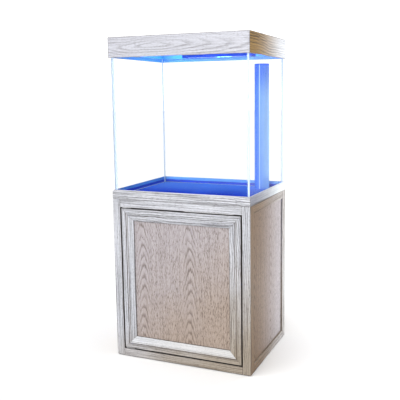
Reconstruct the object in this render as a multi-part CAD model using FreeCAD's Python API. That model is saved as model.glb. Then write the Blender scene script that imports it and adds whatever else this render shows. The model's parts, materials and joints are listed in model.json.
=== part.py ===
import FreeCAD, Part
import math
import os

# A glass aquarium on a wooden cabinet stand, under a wooden light hood.
# Millimetres. +Z is up, the door faces -Y, and the origin is the middle of the
# footprint, on the floor. Each piece is one node and one STEP file.

# Driving dimensions: the outside of the whole object
WIDTH = 620.0
DEPTH = 475.0
CABINET_TOP = 695.0       # top of the posts and rails, which carry the tank
RIM_TOP = 733.0
HOOD_LOW = 1283.0
HOOD_TOP = 1366.0

# Cabinet frame
GLIDE_T = 3.0             # plastic glides that the cabinet stands on
GLIDE_SIDE = 28.0
POST_X = 35.0
POST_Y = 40.0
RAIL_T = 22.0
OPENING_LOW = 35.0        # top of the bottom rails
OPENING_HIGH = 660.0      # underside of the top rails
BOARD_T = 18.0            # base panel and top panel
BASE_HOUSING = 6.0        # how far the base panel is let into the rails
TOP_HOUSING = 10.0        # how far the top panel is let into the rails
SIDE_RECESS = 6.0
SIDE_PANEL_T = 8.0
SIDE_TONGUE = 8.0
SIDE_QUIRK_Y = 4.0        # shadow groove round the side panel, at the posts
SIDE_QUIRK_Z = 2.5        # and at the rails
SIDE_QUIRK_DEPTH = 4.0
BACK_PANEL_T = 5.0
BACK_PANEL_Y = 228.0      # inner face of the back panel
BACK_TONGUE = 6.0
CABLE_CUTOUT_X = (-200.0, 60.0)
CABLE_CUTOUT_Z = (470.0, 590.0)
CABLE_CUTOUT_R = 18.0

# Rim boards round the foot of the tank, and the hood
RIM_T = 7.5
RIM_FACE_TOP = 725.0      # where the flat face ends and the bevel starts
RIM_TOP_LAND = 2.5
RIM_CHAMFER = 1.0
HOOD_BOARD_T = 15.0
HOOD_LIP_T = 7.5          # lips above and below the thick middle of each board
LID_T = 12.0
LID_DROP = 4.0            # the lid lies this far below the top of the boards
LID_GAP = 0.5
FLAP_GAP = 1.5
HINGE_LINE_Y = 40.0
FLAP_REAR_GAP = 1.0
FINGER_HOLE_R = 11.0
FINGER_HOLE_Y = -195.0
CABLE_HOLE_R = 6.0
CABLE_HOLE_X = 255.0
CABLE_HOLE_Z = 1325.0

# Flap hinges
HINGE_X = 200.0
HINGE_LENGTH = 50.0
KNUCKLES = 5
KNUCKLE_R = 2.8
KNUCKLE_GAP = 0.3
HINGE_PIN_R = 1.2
RUNNING_GAP = 0.05
LEAF_T = 1.2
LEAF_WIDTH = 20.0
HINGE_RISE = 1.0          # pin axis above the lid's face
HINGE_RECESS = 3.6
HINGE_END_GAP = 1.0

# Light bar
LIGHT_X = (-106.0, 214.0)
LIGHT_Y = (42.0, 102.0)
LIGHT_Z = (1290.0, 1306.0)
LIGHT_EDGE_R = 4.0
LENS_INSET = 8.0
LENS_RECESS = 1.5         # how far the lens lies above the housing's lower edge
LENS_T = 3.0
LED_SPACE = 8.0           # depth of the channel that holds the LEDs and the lens
BRACKET_X = (-40.0, 148.0)
BRACKET_WIDTH = 20.0
BRACKET_T = 3.0
BRACKET_FOOT = 20.0

# Tank
GLASS_T = 8.0
GLASS_INSET = 8.0         # outer faces of the glass, in from the cabinet's sides
MAT_T = 3.0
MAT_MARGIN = 2.0
TANK_TOP = 1298.0
SEAM_LEG = 4.0

# Overflow tube, with a drain pipe and a return pipe inside it
TUBE_X = 214.0
TUBE_Y = 183.0
TUBE_R = 33.0
TUBE_WALL = 3.0
TUBE_TOP = 1262.0
DRAIN_X = TUBE_X + 13.5
DRAIN_R = 12.5
DRAIN_BORE = 10.5
DRAIN_TOP = 1236.0
RETURN_X = TUBE_X - 16.5
RETURN_R = 8.0
RETURN_BORE = 6.0
SPOUT_Z = 1225.0
SPOUT_R = 7.0
SPOUT_BORE = 5.5
SPOUT_ANGLE = 120.0       # degrees from +X, towards the back glass
SPOUT_REACH = 31.0
DRAIN_THREAD_R = 13.0
RETURN_THREAD_R = 9.0
HOLE_CLEARANCE = 0.3
FLANGE_WIDTH = 3.0
FLANGE_T = 5.0
SOCKET_WALL = 2.5
SOCKET_DEPTH = 11.0
BARREL_LOW = 645.0        # lower end of the bulkhead fittings
NUT_T = 8.0
NUT_WIDTH = 3.5

# Sump under the tank
SUMP_X = (-204.0, 256.0)
SUMP_Y = (-40.0, 210.0)
SUMP_HEIGHT = 300.0
SHEET_T = 6.0
BAFFLES = ((150.0, 46.0, 300.0), (-60.0, 6.0, 225.0), (-90.0, 56.0, 265.0))
TRAY_WALL = 3.0
TRAY_DEPTH = 45.0
TRAY_LIP_T = 3.0
TRAY_GAP = 1.0
SLOT_WIDTH = 6.0
SLOT_PITCH = 16.0
SPONGE_T = 25.0
MEDIA_SIZE = (56.0, 70.0, 70.0)
MEDIA_PITCH = (64.0, 78.0)
MEDIA_START = (-46.0, -26.0)
DRAIN_PIPE_LOW = 322.0
LINE_WALL = 2.5
PIPE_TOP = 666.0

# Return pump
PUMP_Y = 85.0
PUMP_Z = 78.0
MOTOR_X = (-195.0, -140.0)
MOTOR_SIDE = 60.0
VOLUTE_END = -112.0
VOLUTE_R = 27.0
VOLUTE_BORE_R = 21.0
PUMP_WALL = 3.0
MOTOR_WALL = 9.0          # closed end of the motor, and the thickness of its feet
MOTOR_EDGE_R = 10.0
GLAND_R = 6.0
GLAND_HEIGHT = 9.0
GLAND_INSET = 15.0
ROTOR_CAVITY_R = 11.3
ROTOR_GAP = 1.0
VANE_GAP = 2.0
HUB_R = 3.75
SHAFT_SEAT = 6.0          # where the blind end of the shaft's seat is, from the motor's end
ROTOR_R = 10.5
IMPELLER_R = 19.0
SHAFT_R = 1.5
INLET_R = 9.0
VANES = 6
VANE_T = 2.0
OUTLET_X = -126.0
OUTLET_TOP = 150.0
LINE_LEVEL = 520.0        # height of the return line's level run
LINE_BEND = 110.0

# Door and its pivots
DOOR_GAP = 5.5
DOOR_T = 22.0
DOOR_FRAME = 53.0
DOOR_FLAT = 19.0
DOOR_BEAD = 8.0
DOOR_BEAD_LOW = 2.4       # the bead's edges below the door's face
DOOR_BEAD_HIGH = 0.6      # the bead's crown below the door's face
DOOR_QUIRK = 0.8          # sloping step between the flat and the bead
DOOR_INNER_EDGE = 13.5    # height of the frame's inner edge above the door's back
PANEL_T = 6.0
PANEL_BACK = 4.0          # back of the panel above the door's back
PANEL_TONGUE = 6.0
PIVOT_INSET = 12.0
PIN_R = 3.0
PIN_IN_DOOR = 30.0
PIN_IN_RAIL = 6.0
PIVOT_HOLE_R = 3.6
PIVOT_HOLE_DEPTH = 8.0
PLATE_T = 3.0
PLATE_SIZE = (40.0, 14.0)
COLLAR_R = 6.0
COLLAR_GAP = 0.1
CATCH_SIZE = (14.0, 14.0, 46.0)
CATCH_Z = 350.0
CATCH_AIR = 0.2
STRIKE_T = 1.0
STRIKE_SIZE = (13.0, 40.0)
STRIKE_MARGIN = 1.0

HALF_W = WIDTH / 2
HALF_D = DEPTH / 2
POST_IN_X = HALF_W - POST_X
POST_IN_Y = HALF_D - POST_Y
MAT_TOP = CABINET_TOP + MAT_T
TANK_FLOOR = MAT_TOP + GLASS_T
TANK_X = HALF_W - GLASS_INSET
TANK_Y = HALF_D - GLASS_INSET
GLASS_IN_X = TANK_X - GLASS_T
GLASS_IN_Y = TANK_Y - GLASS_T
LID_TOP = HOOD_TOP - LID_DROP
LID_LOW = LID_TOP - LID_T
DOOR_X = POST_IN_X - DOOR_GAP
DOOR_Z = (OPENING_LOW + DOOR_GAP, OPENING_HIGH - DOOR_GAP)
DOOR_BACK_Y = DOOR_T - HALF_D
PIVOT_X = PIVOT_INSET - DOOR_X
PIVOT_Y = DOOR_T / 2 - HALF_D
SUMP_LOW = OPENING_LOW
SUMP_TOP = SUMP_LOW + SUMP_HEIGHT
SUMP_FLOOR = SUMP_LOW + SHEET_T
TOLERANCE = 0.01
SIDES = (("left", -1), ("right", 1))
ENDS = (("front", -1), ("back", 1))


def vec(x, y, z):
    return FreeCAD.Vector(x, y, z)


def block(x, y, z):
    """A box between a pair of limits along each axis."""
    return Part.makeBox(x[1] - x[0], y[1] - y[0], z[1] - z[0], vec(x[0], y[0], z[0]))


def rod(radius, start, end):
    """A solid round bar between two points."""
    along = vec(*end).sub(vec(*start))
    return Part.makeCylinder(radius, along.Length, vec(*start), along)


def upright(radius, x, y, z):
    return rod(radius, (x, y, z[0]), (x, y, z[1]))


def span(side, near, far):
    """Limits on one side of the middle, in rising order."""
    return tuple(sorted((side * near, side * far)))


def both(limit):
    return (-limit, limit)


def edges_of_length(shape, axis, length):
    """The straight edges that run along one axis for a given length."""
    sizes = {"x": "XLength", "y": "YLength"}
    return [e for e in shape.Edges if abs(getattr(e.BoundBox, sizes[axis]) - length) < TOLERANCE]


def outline(start, *steps):
    """A closed face in the YZ plane. A step is the end of a line, or (middle, end) of an arc."""
    edges = []
    here = vec(0, *start)
    for step in steps + (start,):
        if isinstance(step[0], tuple):
            middle = vec(0, *step[0])
            there = vec(0, *step[1])
            edges.append(Part.Arc(here, middle, there).toShape())
        else:
            there = vec(0, *step)
            edges.append(Part.LineSegment(here, there).toShape())
        here = there
    return Part.Face(Part.Wire(edges))


def mitred_frame(section, reach, width, height):
    """Four mitred lengths of a section round a rectangle in the XY plane.

    The section's first coordinate runs inward from the rectangle's edge, at most by reach.
    """
    made = {}
    turns = (("front", 0, width, height), ("right", 90, height, width))
    turns += (("back", 180, width, height), ("left", 270, height, width))
    limits = section.BoundBox
    for name, angle, length, across in turns:
        half = length / 2
        bar = section.copy()
        bar.translate(vec(-half, 0, 0))
        bar = bar.extrude(vec(length, 0, 0))
        corners = ((-half, 0), (half, 0), (half - reach, reach), (reach - half, reach), (-half, 0))
        shape = Part.Face(Part.makePolygon([vec(x, y, limits.ZMin) for x, y in corners]))
        bar = bar.common(shape.extrude(vec(0, 0, limits.ZLength)))
        bar.translate(vec(0, -across / 2, 0))
        bar.rotate(vec(0, 0, 0), vec(0, 0, 1), angle)
        made[name] = bar
    return made


def tube(outer, inner, x, y, z):
    return upright(outer, x, y, z).cut(upright(inner, x, y, z))


def hexagon(radius, x, y, z):
    corners = [
        vec(x + radius * math.cos(math.radians(a)), y + radius * math.sin(math.radians(a)), z[0])
        for a in range(0, 361, 60)
    ]
    return Part.Face(Part.makePolygon(corners)).extrude(vec(0, 0, z[1] - z[0]))


# Housings that several boards share

def side_panel_blank(side):
    outer = HALF_W - SIDE_RECESS
    return block(
        span(side, outer - SIDE_PANEL_T, outer),
        both(POST_IN_Y + SIDE_TONGUE),
        (OPENING_LOW - SIDE_TONGUE, OPENING_HIGH + SIDE_TONGUE),
    )


def back_panel_blank():
    return block(
        both(POST_IN_X + BACK_TONGUE),
        (BACK_PANEL_Y, BACK_PANEL_Y + BACK_PANEL_T),
        (OPENING_LOW - BACK_TONGUE, OPENING_HIGH + BACK_TONGUE),
    )


def level_board(housing, low):
    """The base or top panel before its corners are notched round the posts."""
    x = HALF_W - RAIL_T + housing
    y = HALF_D - RAIL_T + housing
    return block(both(x), both(y), (low, low + BOARD_T))


def post_blank(x_side, y_side):
    x = span(x_side, POST_IN_X, HALF_W)
    y = span(y_side, POST_IN_Y, HALF_D)
    return block(x, y, (GLIDE_T, CABINET_TOP))


def cabinet_frame():
    """Posts, rails, panels and glides."""
    made = {}
    base = level_board(BASE_HOUSING, OPENING_LOW - BOARD_T)
    top = level_board(TOP_HOUSING, CABINET_TOP - BOARD_T)
    panels = [side_panel_blank(-1), side_panel_blank(1), back_panel_blank()]
    glides = []
    for y_name, y_side in ENDS:
        for x_name, x_side in SIDES:
            post = post_blank(x_side, y_side)
            base = base.cut(post)
            top = top.cut(post)
            for panel in panels:
                post = post.cut(panel)
            made[f"post_{y_name}_{x_name}"] = post
            margin = (POST_X - GLIDE_SIDE) / 2
            glide_x = span(x_side, HALF_W - margin - GLIDE_SIDE, HALF_W - margin)
            glide_y = span(y_side, HALF_D - margin - GLIDE_SIDE, HALF_D - margin)
            glides.append(block(glide_x, glide_y, (0, GLIDE_T)))
    made["floor_glides"] = Part.makeCompound(glides)

    low = (GLIDE_T, OPENING_LOW)
    high = (OPENING_HIGH, CABINET_TOP)
    for x_name, x_side in SIDES:
        x = span(x_side, HALF_W - RAIL_T, HALF_W)
        rails = [housed(block(x, both(POST_IN_Y), z), panels + [base, top]) for z in (low, high)]
        made[f"rails_{x_name}"] = Part.makeCompound(rails)
    back = span(1, HALF_D - RAIL_T, HALF_D)
    rails = [housed(block(both(POST_IN_X), back, z), panels + [base, top]) for z in (low, high)]
    made["rails_back"] = Part.makeCompound(rails)
    front = span(-1, HALF_D - RAIL_T, HALF_D)
    for name, z, face, inward in (
        ("rail_front_bottom", low, OPENING_LOW, -1),
        ("rail_front_top", high, OPENING_HIGH, 1),
    ):
        rail = housed(block(both(POST_IN_X), front, z), [base, top])
        socket = sorted((face, face + inward * PIVOT_HOLE_DEPTH))
        made[name] = rail.cut(upright(PIVOT_HOLE_R, PIVOT_X, PIVOT_Y, socket))

    for x_name, x_side in SIDES:
        made[f"side_panel_{x_name}"] = side_panel(x_side)
    made["back_panel"] = back_panel()
    made["base_panel"] = base
    made["top_panel"] = top.cut(bulkhead_holes((CABINET_TOP - BOARD_T, CABINET_TOP)))
    return made


def housed(board, neighbours):
    """A board with its neighbours' housings cut out of it."""
    for other in neighbours:
        board = board.cut(other)
    return board


def side_panel(side):
    """A flat panel with a shadow groove routed round its visible field."""
    outer = HALF_W - SIDE_RECESS
    depth = span(side, outer - SIDE_QUIRK_DEPTH, outer)
    field = block(depth, both(POST_IN_Y), (OPENING_LOW, OPENING_HIGH))
    inner = block(
        depth,
        both(POST_IN_Y - SIDE_QUIRK_Y),
        (OPENING_LOW + SIDE_QUIRK_Z, OPENING_HIGH - SIDE_QUIRK_Z),
    )
    return side_panel_blank(side).cut(field.cut(inner))


def back_panel():
    y = (BACK_PANEL_Y, BACK_PANEL_Y + BACK_PANEL_T)
    cutout = block(CABLE_CUTOUT_X, y, CABLE_CUTOUT_Z)
    corners = edges_of_length(cutout, "y", BACK_PANEL_T)
    return back_panel_blank().cut(cutout.makeFillet(CABLE_CUTOUT_R, corners))


def rim():
    section = outline(
        (0, CABINET_TOP + RIM_CHAMFER),
        (RIM_CHAMFER, CABINET_TOP),
        (RIM_T, CABINET_TOP),
        (RIM_T, RIM_TOP),
        (RIM_T - RIM_TOP_LAND, RIM_TOP),
        (0, RIM_FACE_TOP),
    )
    boards = mitred_frame(section, RIM_T, WIDTH, DEPTH)
    return {f"rim_{name}": board for name, board in boards.items()}


def tank():
    """Five glass sheets, the silicone in their corners, and the mat under them."""
    made = {}
    walls = (TANK_FLOOR, TANK_TOP)
    for name, side in ENDS:
        made[f"glass_{name}"] = block(both(TANK_X), span(side, GLASS_IN_Y, TANK_Y), walls)
    for name, side in SIDES:
        made[f"glass_{name}"] = block(span(side, GLASS_IN_X, TANK_X), both(GLASS_IN_Y), walls)
    floor = block(both(TANK_X), both(TANK_Y), (MAT_TOP, TANK_FLOOR))
    made["glass_bottom"] = floor.cut(bulkhead_holes((MAT_TOP, TANK_FLOOR)))
    mat = block(both(TANK_X - MAT_MARGIN), both(TANK_Y - MAT_MARGIN), (CABINET_TOP, MAT_TOP))
    made["base_mat"] = mat.cut(bulkhead_holes((CABINET_TOP, MAT_TOP)))
    made["silicone_seams"] = Part.makeCompound(corner_beads() + floor_beads())
    return made


def corner_beads():
    """Triangular beads up the four inside corners."""
    beads = []
    rise = vec(0, 0, TANK_TOP - TANK_FLOOR - SEAM_LEG)
    z = TANK_FLOOR + SEAM_LEG
    for x_side in (-1, 1):
        for y_side in (-1, 1):
            x = x_side * GLASS_IN_X
            y = y_side * GLASS_IN_Y
            corner = vec(x, y, z)
            along_x = vec(x - x_side * SEAM_LEG, y, z)
            along_y = vec(x, y - y_side * SEAM_LEG, z)
            face = Part.Face(Part.makePolygon([corner, along_x, along_y, corner]))
            beads.append(face.extrude(rise))
    return beads


def floor_beads():
    section = outline((0, TANK_FLOOR), (SEAM_LEG, TANK_FLOOR), (0, TANK_FLOOR + SEAM_LEG))
    return list(mitred_frame(section, SEAM_LEG, 2 * GLASS_IN_X, 2 * GLASS_IN_Y).values())


def bulkhead_holes(z):
    drain = upright(DRAIN_THREAD_R + HOLE_CLEARANCE, DRAIN_X, TUBE_Y, z)
    return drain.fuse(upright(RETURN_THREAD_R + HOLE_CLEARANCE, RETURN_X, TUBE_Y, z))


def bulkhead(thread_r, pipe_r, bore_r, x):
    """A flanged fitting: barrel through the floor, flange on the glass, socket for a pipe."""
    flange_top = TANK_FLOOR + FLANGE_T
    socket_top = flange_top + SOCKET_DEPTH
    body = upright(thread_r, x, TUBE_Y, (BARREL_LOW, TANK_FLOOR))
    body = body.fuse(upright(thread_r + FLANGE_WIDTH, x, TUBE_Y, (TANK_FLOOR, flange_top)))
    body = body.fuse(upright(pipe_r + SOCKET_WALL, x, TUBE_Y, (flange_top, socket_top)))
    body = body.cut(upright(bore_r, x, TUBE_Y, (BARREL_LOW, flange_top)))
    return body.cut(upright(pipe_r, x, TUBE_Y, (flange_top, socket_top))).removeSplitter()


def bulkhead_nut(thread_r, x):
    z = (CABINET_TOP - BOARD_T - NUT_T, CABINET_TOP - BOARD_T)
    return hexagon(thread_r + NUT_WIDTH, x, TUBE_Y, z).cut(upright(thread_r, x, TUBE_Y, z))


def overflow():
    """The tube in the tank's back corner, and the pipes and fittings inside it."""
    spout_way = vec(math.cos(math.radians(SPOUT_ANGLE)), math.sin(math.radians(SPOUT_ANGLE)), 0)
    elbow = (RETURN_X, TUBE_Y, SPOUT_Z)
    mouth = tuple(vec(*elbow).add(spout_way.multiply(SPOUT_REACH)))
    pipe_low = TANK_FLOOR + FLANGE_T
    sleeve = tube(TUBE_R, TUBE_R - TUBE_WALL, TUBE_X, TUBE_Y, (TANK_FLOOR, TUBE_TOP))
    riser = upright(RETURN_R, RETURN_X, TUBE_Y, (pipe_low, SPOUT_Z))
    riser = riser.fuse(Part.makeSphere(RETURN_R, vec(*elbow))).fuse(rod(SPOUT_R, elbow, mouth))
    bore = upright(RETURN_BORE, RETURN_X, TUBE_Y, (pipe_low, SPOUT_Z))
    bore = bore.fuse(Part.makeSphere(RETURN_BORE, vec(*elbow))).fuse(rod(SPOUT_BORE, elbow, mouth))
    fittings = [
        bulkhead(DRAIN_THREAD_R, DRAIN_R, DRAIN_BORE, DRAIN_X),
        bulkhead(RETURN_THREAD_R, RETURN_R, RETURN_BORE, RETURN_X),
    ]
    nuts = [bulkhead_nut(DRAIN_THREAD_R, DRAIN_X), bulkhead_nut(RETURN_THREAD_R, RETURN_X)]
    return {
        "overflow_tube": sleeve.cut(rod(SPOUT_R, elbow, mouth)),
        "drain_standpipe": tube(DRAIN_R, DRAIN_BORE, DRAIN_X, TUBE_Y, (pipe_low, DRAIN_TOP)),
        "return_pipe": riser.cut(bore),
        "bulkhead_fittings": Part.makeCompound(fittings),
        "bulkhead_nuts": Part.makeCompound(nuts),
    }


def sump():
    """An open tank of glued sheets with baffles, a filter tray, a sponge and filter blocks."""
    made = {}
    inner_x = (SUMP_X[0] + SHEET_T, SUMP_X[1] - SHEET_T)
    inner_y = (SUMP_Y[0] + SHEET_T, SUMP_Y[1] - SHEET_T)
    wall = (SUMP_FLOOR, SUMP_TOP)
    sheets = [
        block(SUMP_X, SUMP_Y, (SUMP_LOW, SUMP_FLOOR)),
        block(SUMP_X, (SUMP_Y[0], inner_y[0]), wall),
        block(SUMP_X, (inner_y[1], SUMP_Y[1]), wall),
        block((SUMP_X[0], inner_x[0]), inner_y, wall),
        block((inner_x[1], SUMP_X[1]), inner_y, wall),
    ]
    for x, low, high in BAFFLES:
        sheets.append(block((x, x + SHEET_T), inner_y, (SUMP_LOW + low, SUMP_LOW + high)))
    made["sump_panels"] = Part.makeCompound(sheets)

    tray_x = (BAFFLES[0][0] + SHEET_T + TRAY_GAP, inner_x[1] - TRAY_GAP)
    tray_y = (inner_y[0] + TRAY_GAP, inner_y[1] - TRAY_GAP)
    floor_z = SUMP_TOP - TRAY_DEPTH
    made["filter_tray"] = filter_tray(tray_x, tray_y, floor_z)
    made["filter_sponge"] = block(
        (tray_x[0] + TRAY_WALL, tray_x[1] - TRAY_WALL),
        (tray_y[0] + TRAY_WALL, tray_y[1] - TRAY_WALL),
        (floor_z + TRAY_WALL, floor_z + TRAY_WALL + SPONGE_T),
    )
    blocks = []
    for column in range(3):
        for row in range(3):
            x = MEDIA_START[0] + column * MEDIA_PITCH[0]
            y = MEDIA_START[1] + row * MEDIA_PITCH[1]
            z = (SUMP_FLOOR, SUMP_FLOOR + MEDIA_SIZE[2])
            blocks.append(block((x, x + MEDIA_SIZE[0]), (y, y + MEDIA_SIZE[1]), z))
    made["bio_media"] = Part.makeCompound(blocks)
    made["drain_pipe"] = tube(
        DRAIN_THREAD_R + LINE_WALL, DRAIN_THREAD_R, DRAIN_X, TUBE_Y, (DRAIN_PIPE_LOW, PIPE_TOP)
    )
    made["return_line"] = return_line()
    return made


def filter_tray(x, y, floor_z):
    """A slotted tray that hangs by its lip between the first baffle and the sump's end."""
    lip = block((x[0] - SHEET_T, x[1] + SHEET_T), y, (SUMP_TOP, SUMP_TOP + TRAY_LIP_T))
    tray = block(x, y, (floor_z, SUMP_TOP)).fuse(lip)
    hollow_x = (x[0] + TRAY_WALL, x[1] - TRAY_WALL)
    hollow_y = (y[0] + TRAY_WALL, y[1] - TRAY_WALL)
    tray = tray.cut(block(hollow_x, hollow_y, (floor_z + TRAY_WALL, SUMP_TOP + TRAY_LIP_T)))
    slots = int((hollow_y[1] - hollow_y[0]) // SLOT_PITCH)
    for slot in range(slots):
        start = hollow_y[0] + (slot + 0.5) * SLOT_PITCH
        ends = (hollow_x[0] + SLOT_PITCH / 2, hollow_x[1] - SLOT_PITCH / 2)
        cut = block(ends, (start, start + SLOT_WIDTH), (floor_z, floor_z + TRAY_WALL))
        tray = tray.cut(cut)
    return tray.removeSplitter()


def return_line():
    """A rigid bent pipe from the pump's outlet to the return fitting: up, level, and up again."""
    start = vec(OUTLET_X, PUMP_Y, OUTLET_TOP - SOCKET_DEPTH)
    end = vec(RETURN_X, TUBE_Y, PIPE_TOP)
    low_corner = vec(OUTLET_X, PUMP_Y, LINE_LEVEL)
    high_corner = vec(RETURN_X, TUBE_Y, LINE_LEVEL)
    level = high_corner.sub(low_corner).normalize()
    up = vec(0, 0, 1)
    edges = []
    here = start
    for corner, before, after in ((low_corner, up, level), (high_corner, level, up)):
        enter = corner.sub(vec(*before).multiply(LINE_BEND))
        leave = corner.add(vec(*after).multiply(LINE_BEND))
        centre = enter.add(vec(*after).multiply(LINE_BEND))
        middle = centre.add(corner.sub(centre).normalize().multiply(LINE_BEND))
        edges.append(Part.LineSegment(here, enter).toShape())
        edges.append(Part.Arc(enter, middle, leave).toShape())
        here = leave
    edges.append(Part.LineSegment(here, end).toShape())
    path = Part.Wire(edges)
    solids = []
    for radius in (RETURN_THREAD_R + LINE_WALL, RETURN_THREAD_R):
        ring = Part.Wire(Part.makeCircle(radius, start, up))
        solids.append(path.makePipeShell([ring], True, False))
    return solids[0].cut(solids[1])


def pump():
    """A submersible return pump lying along X: motor, volute, rotor and shaft."""
    cover_x = (VOLUTE_END - PUMP_WALL, VOLUTE_END)
    cover = along_x(VOLUTE_R, cover_x).cut(along_x(INLET_R, cover_x))
    spider = block(
        cover_x, (PUMP_Y - INLET_R, PUMP_Y + INLET_R), (PUMP_Z - VANE_T, PUMP_Z + VANE_T)
    )
    cover = cover.fuse(spider).cut(along_x(SHAFT_R, cover_x))
    shaft_x = (MOTOR_X[0] + SHAFT_SEAT, VOLUTE_END)
    return {
        "pump_housing": Part.makeCompound([pump_case(shaft_x), cover]),
        "impeller": impeller(),
        "impeller_shaft": along_x(SHAFT_R, shaft_x),
    }


def pump_case(shaft_x):
    """The motor with its feet and cable gland, and the volute with its outlet."""
    half = MOTOR_SIDE / 2
    square = (PUMP_Y - half, PUMP_Y + half)
    case = block(MOTOR_X, square, (PUMP_Z - half, PUMP_Z + half))
    case = case.makeFillet(MOTOR_EDGE_R, edges_of_length(case, "x", MOTOR_X[1] - MOTOR_X[0]))
    foot_y = (PUMP_Y - half / 2, PUMP_Y + half / 2)
    for x in (MOTOR_X[0], MOTOR_X[1] - MOTOR_WALL):
        case = case.fuse(block((x, x + MOTOR_WALL), foot_y, (SUMP_FLOOR, PUMP_Z - half)))
    gland_z = (PUMP_Z + half, PUMP_Z + half + GLAND_HEIGHT)
    case = case.fuse(upright(GLAND_R, MOTOR_X[0] + GLAND_INSET, PUMP_Y, gland_z))

    volute_x = (MOTOR_X[1], VOLUTE_END - PUMP_WALL)
    outlet_z = (PUMP_Z, OUTLET_TOP)
    volute = along_x(VOLUTE_R, volute_x).fuse(upright(RETURN_THREAD_R, OUTLET_X, PUMP_Y, outlet_z))
    volute = volute.cut(along_x(VOLUTE_BORE_R, volute_x))
    volute = volute.cut(upright(RETURN_BORE, OUTLET_X, PUMP_Y, outlet_z))
    cavity_x = (MOTOR_X[0] + MOTOR_WALL, MOTOR_X[1])
    case = case.fuse(volute).cut(along_x(ROTOR_CAVITY_R, cavity_x))
    return case.cut(along_x(SHAFT_R, shaft_x)).removeSplitter()


def impeller():
    """The magnet rotor with a disc and straight vanes, bored for the shaft."""
    disc_low = MOTOR_X[1] + ROTOR_GAP
    vane_x = (disc_low + PUMP_WALL, VOLUTE_END - PUMP_WALL - VANE_GAP)
    wheel = along_x(ROTOR_R, (MOTOR_X[0] + MOTOR_WALL + ROTOR_GAP, disc_low))
    wheel = wheel.fuse(along_x(IMPELLER_R, (disc_low, vane_x[0]))).fuse(along_x(HUB_R, vane_x))
    for number in range(VANES):
        thickness = (PUMP_Y - VANE_T / 2, PUMP_Y + VANE_T / 2)
        vane = block(vane_x, thickness, (PUMP_Z + SHAFT_R * 2, PUMP_Z + IMPELLER_R))
        vane.rotate(vec(0, PUMP_Y, PUMP_Z), vec(1, 0, 0), number * 360 / VANES)
        wheel = wheel.fuse(vane)
    return wheel.cut(along_x(SHAFT_R + RUNNING_GAP, (MOTOR_X[0], VOLUTE_END))).removeSplitter()


def along_x(radius, x):
    """A round bar on the pump's axis."""
    return rod(radius, (x[0], PUMP_Y, PUMP_Z), (x[1], PUMP_Y, PUMP_Z))


def door():
    """A mitred frame with a bead and a long bevel round a flat panel, on two pivot pins."""
    bead_end = DOOR_FLAT + DOOR_BEAD
    bead_low = DOOR_T - DOOR_BEAD_LOW
    crown = (DOOR_FLAT + DOOR_BEAD / 2, DOOR_T - DOOR_BEAD_HIGH)
    section = outline(
        (0, 0),
        (DOOR_FRAME, 0),
        (DOOR_FRAME, PANEL_BACK),
        (DOOR_FRAME - PANEL_TONGUE, PANEL_BACK),
        (DOOR_FRAME - PANEL_TONGUE, PANEL_BACK + PANEL_T),
        (DOOR_FRAME, PANEL_BACK + PANEL_T),
        (DOOR_FRAME, DOOR_INNER_EDGE),
        (bead_end, bead_low),
        (crown, (DOOR_FLAT + DOOR_QUIRK, bead_low)),
        (DOOR_FLAT, DOOR_T),
        (0, DOOR_T),
    )
    height = DOOR_Z[1] - DOOR_Z[0]
    names = {
        "front": "door_rail_bottom",
        "right": "door_stile_right",
        "back": "door_rail_top",
        "left": "door_stile_left",
    }
    made = {}
    pins = pivot_pins()
    for side, piece in mitred_frame(section, DOOR_FRAME, 2 * DOOR_X, height).items():
        piece.rotate(vec(0, 0, 0), vec(1, 0, 0), 90)
        piece.translate(vec(0, DOOR_BACK_Y, sum(DOOR_Z) / 2))
        made[names[side]] = piece.cut(pins[0]).cut(pins[1])
    inset = DOOR_FRAME - PANEL_TONGUE
    made["door_panel"] = block(
        both(DOOR_X - inset),
        (DOOR_BACK_Y - PANEL_BACK - PANEL_T, DOOR_BACK_Y - PANEL_BACK),
        (DOOR_Z[0] + inset, DOOR_Z[1] - inset),
    )
    made["pivot_pins"] = Part.makeCompound(pins)
    strike_edge = DOOR_X - STRIKE_MARGIN
    strike_x = (strike_edge - STRIKE_SIZE[0], strike_edge)
    strike_z = (CATCH_Z - STRIKE_SIZE[1] / 2, CATCH_Z + STRIKE_SIZE[1] / 2)
    made["strike_plate"] = block(strike_x, (DOOR_BACK_Y, DOOR_BACK_Y + STRIKE_T), strike_z)
    return made


def pivot_pins():
    """The upper pin is plain, and the lower one has a collar that carries the door."""
    upper = upright(PIN_R, PIVOT_X, PIVOT_Y, (DOOR_Z[1] - PIN_IN_DOOR, OPENING_HIGH + PIN_IN_RAIL))
    lower = upright(PIN_R, PIVOT_X, PIVOT_Y, (OPENING_LOW - PIN_IN_RAIL, DOOR_Z[0] + PIN_IN_DOOR))
    collar_z = (OPENING_LOW + PLATE_T + COLLAR_GAP, DOOR_Z[0])
    return [upper, lower.fuse(upright(COLLAR_R, PIVOT_X, PIVOT_Y, collar_z)).removeSplitter()]


def door_fittings():
    """Pivot plates on the rails, and the magnetic catch on the right post."""
    plates = []
    x = (PIVOT_X - PLATE_SIZE[0] / 4, PIVOT_X + PLATE_SIZE[0] * 3 / 4)
    y = (PIVOT_Y - PLATE_SIZE[1] / 2, PIVOT_Y + PLATE_SIZE[1] / 2)
    hole_r = PIN_R + RUNNING_GAP
    for z in ((OPENING_LOW, OPENING_LOW + PLATE_T), (OPENING_HIGH - PLATE_T, OPENING_HIGH)):
        plates.append(block(x, y, z).cut(upright(hole_r, PIVOT_X, PIVOT_Y, z)))
    catch_y = DOOR_BACK_Y + STRIKE_T + CATCH_AIR
    catch = block(
        (POST_IN_X - CATCH_SIZE[0], POST_IN_X),
        (catch_y, catch_y + CATCH_SIZE[1]),
        (CATCH_Z - CATCH_SIZE[2] / 2, CATCH_Z + CATCH_SIZE[2] / 2),
    )
    return {"pivot_plates": Part.makeCompound(plates), "door_catch": catch}


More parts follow.
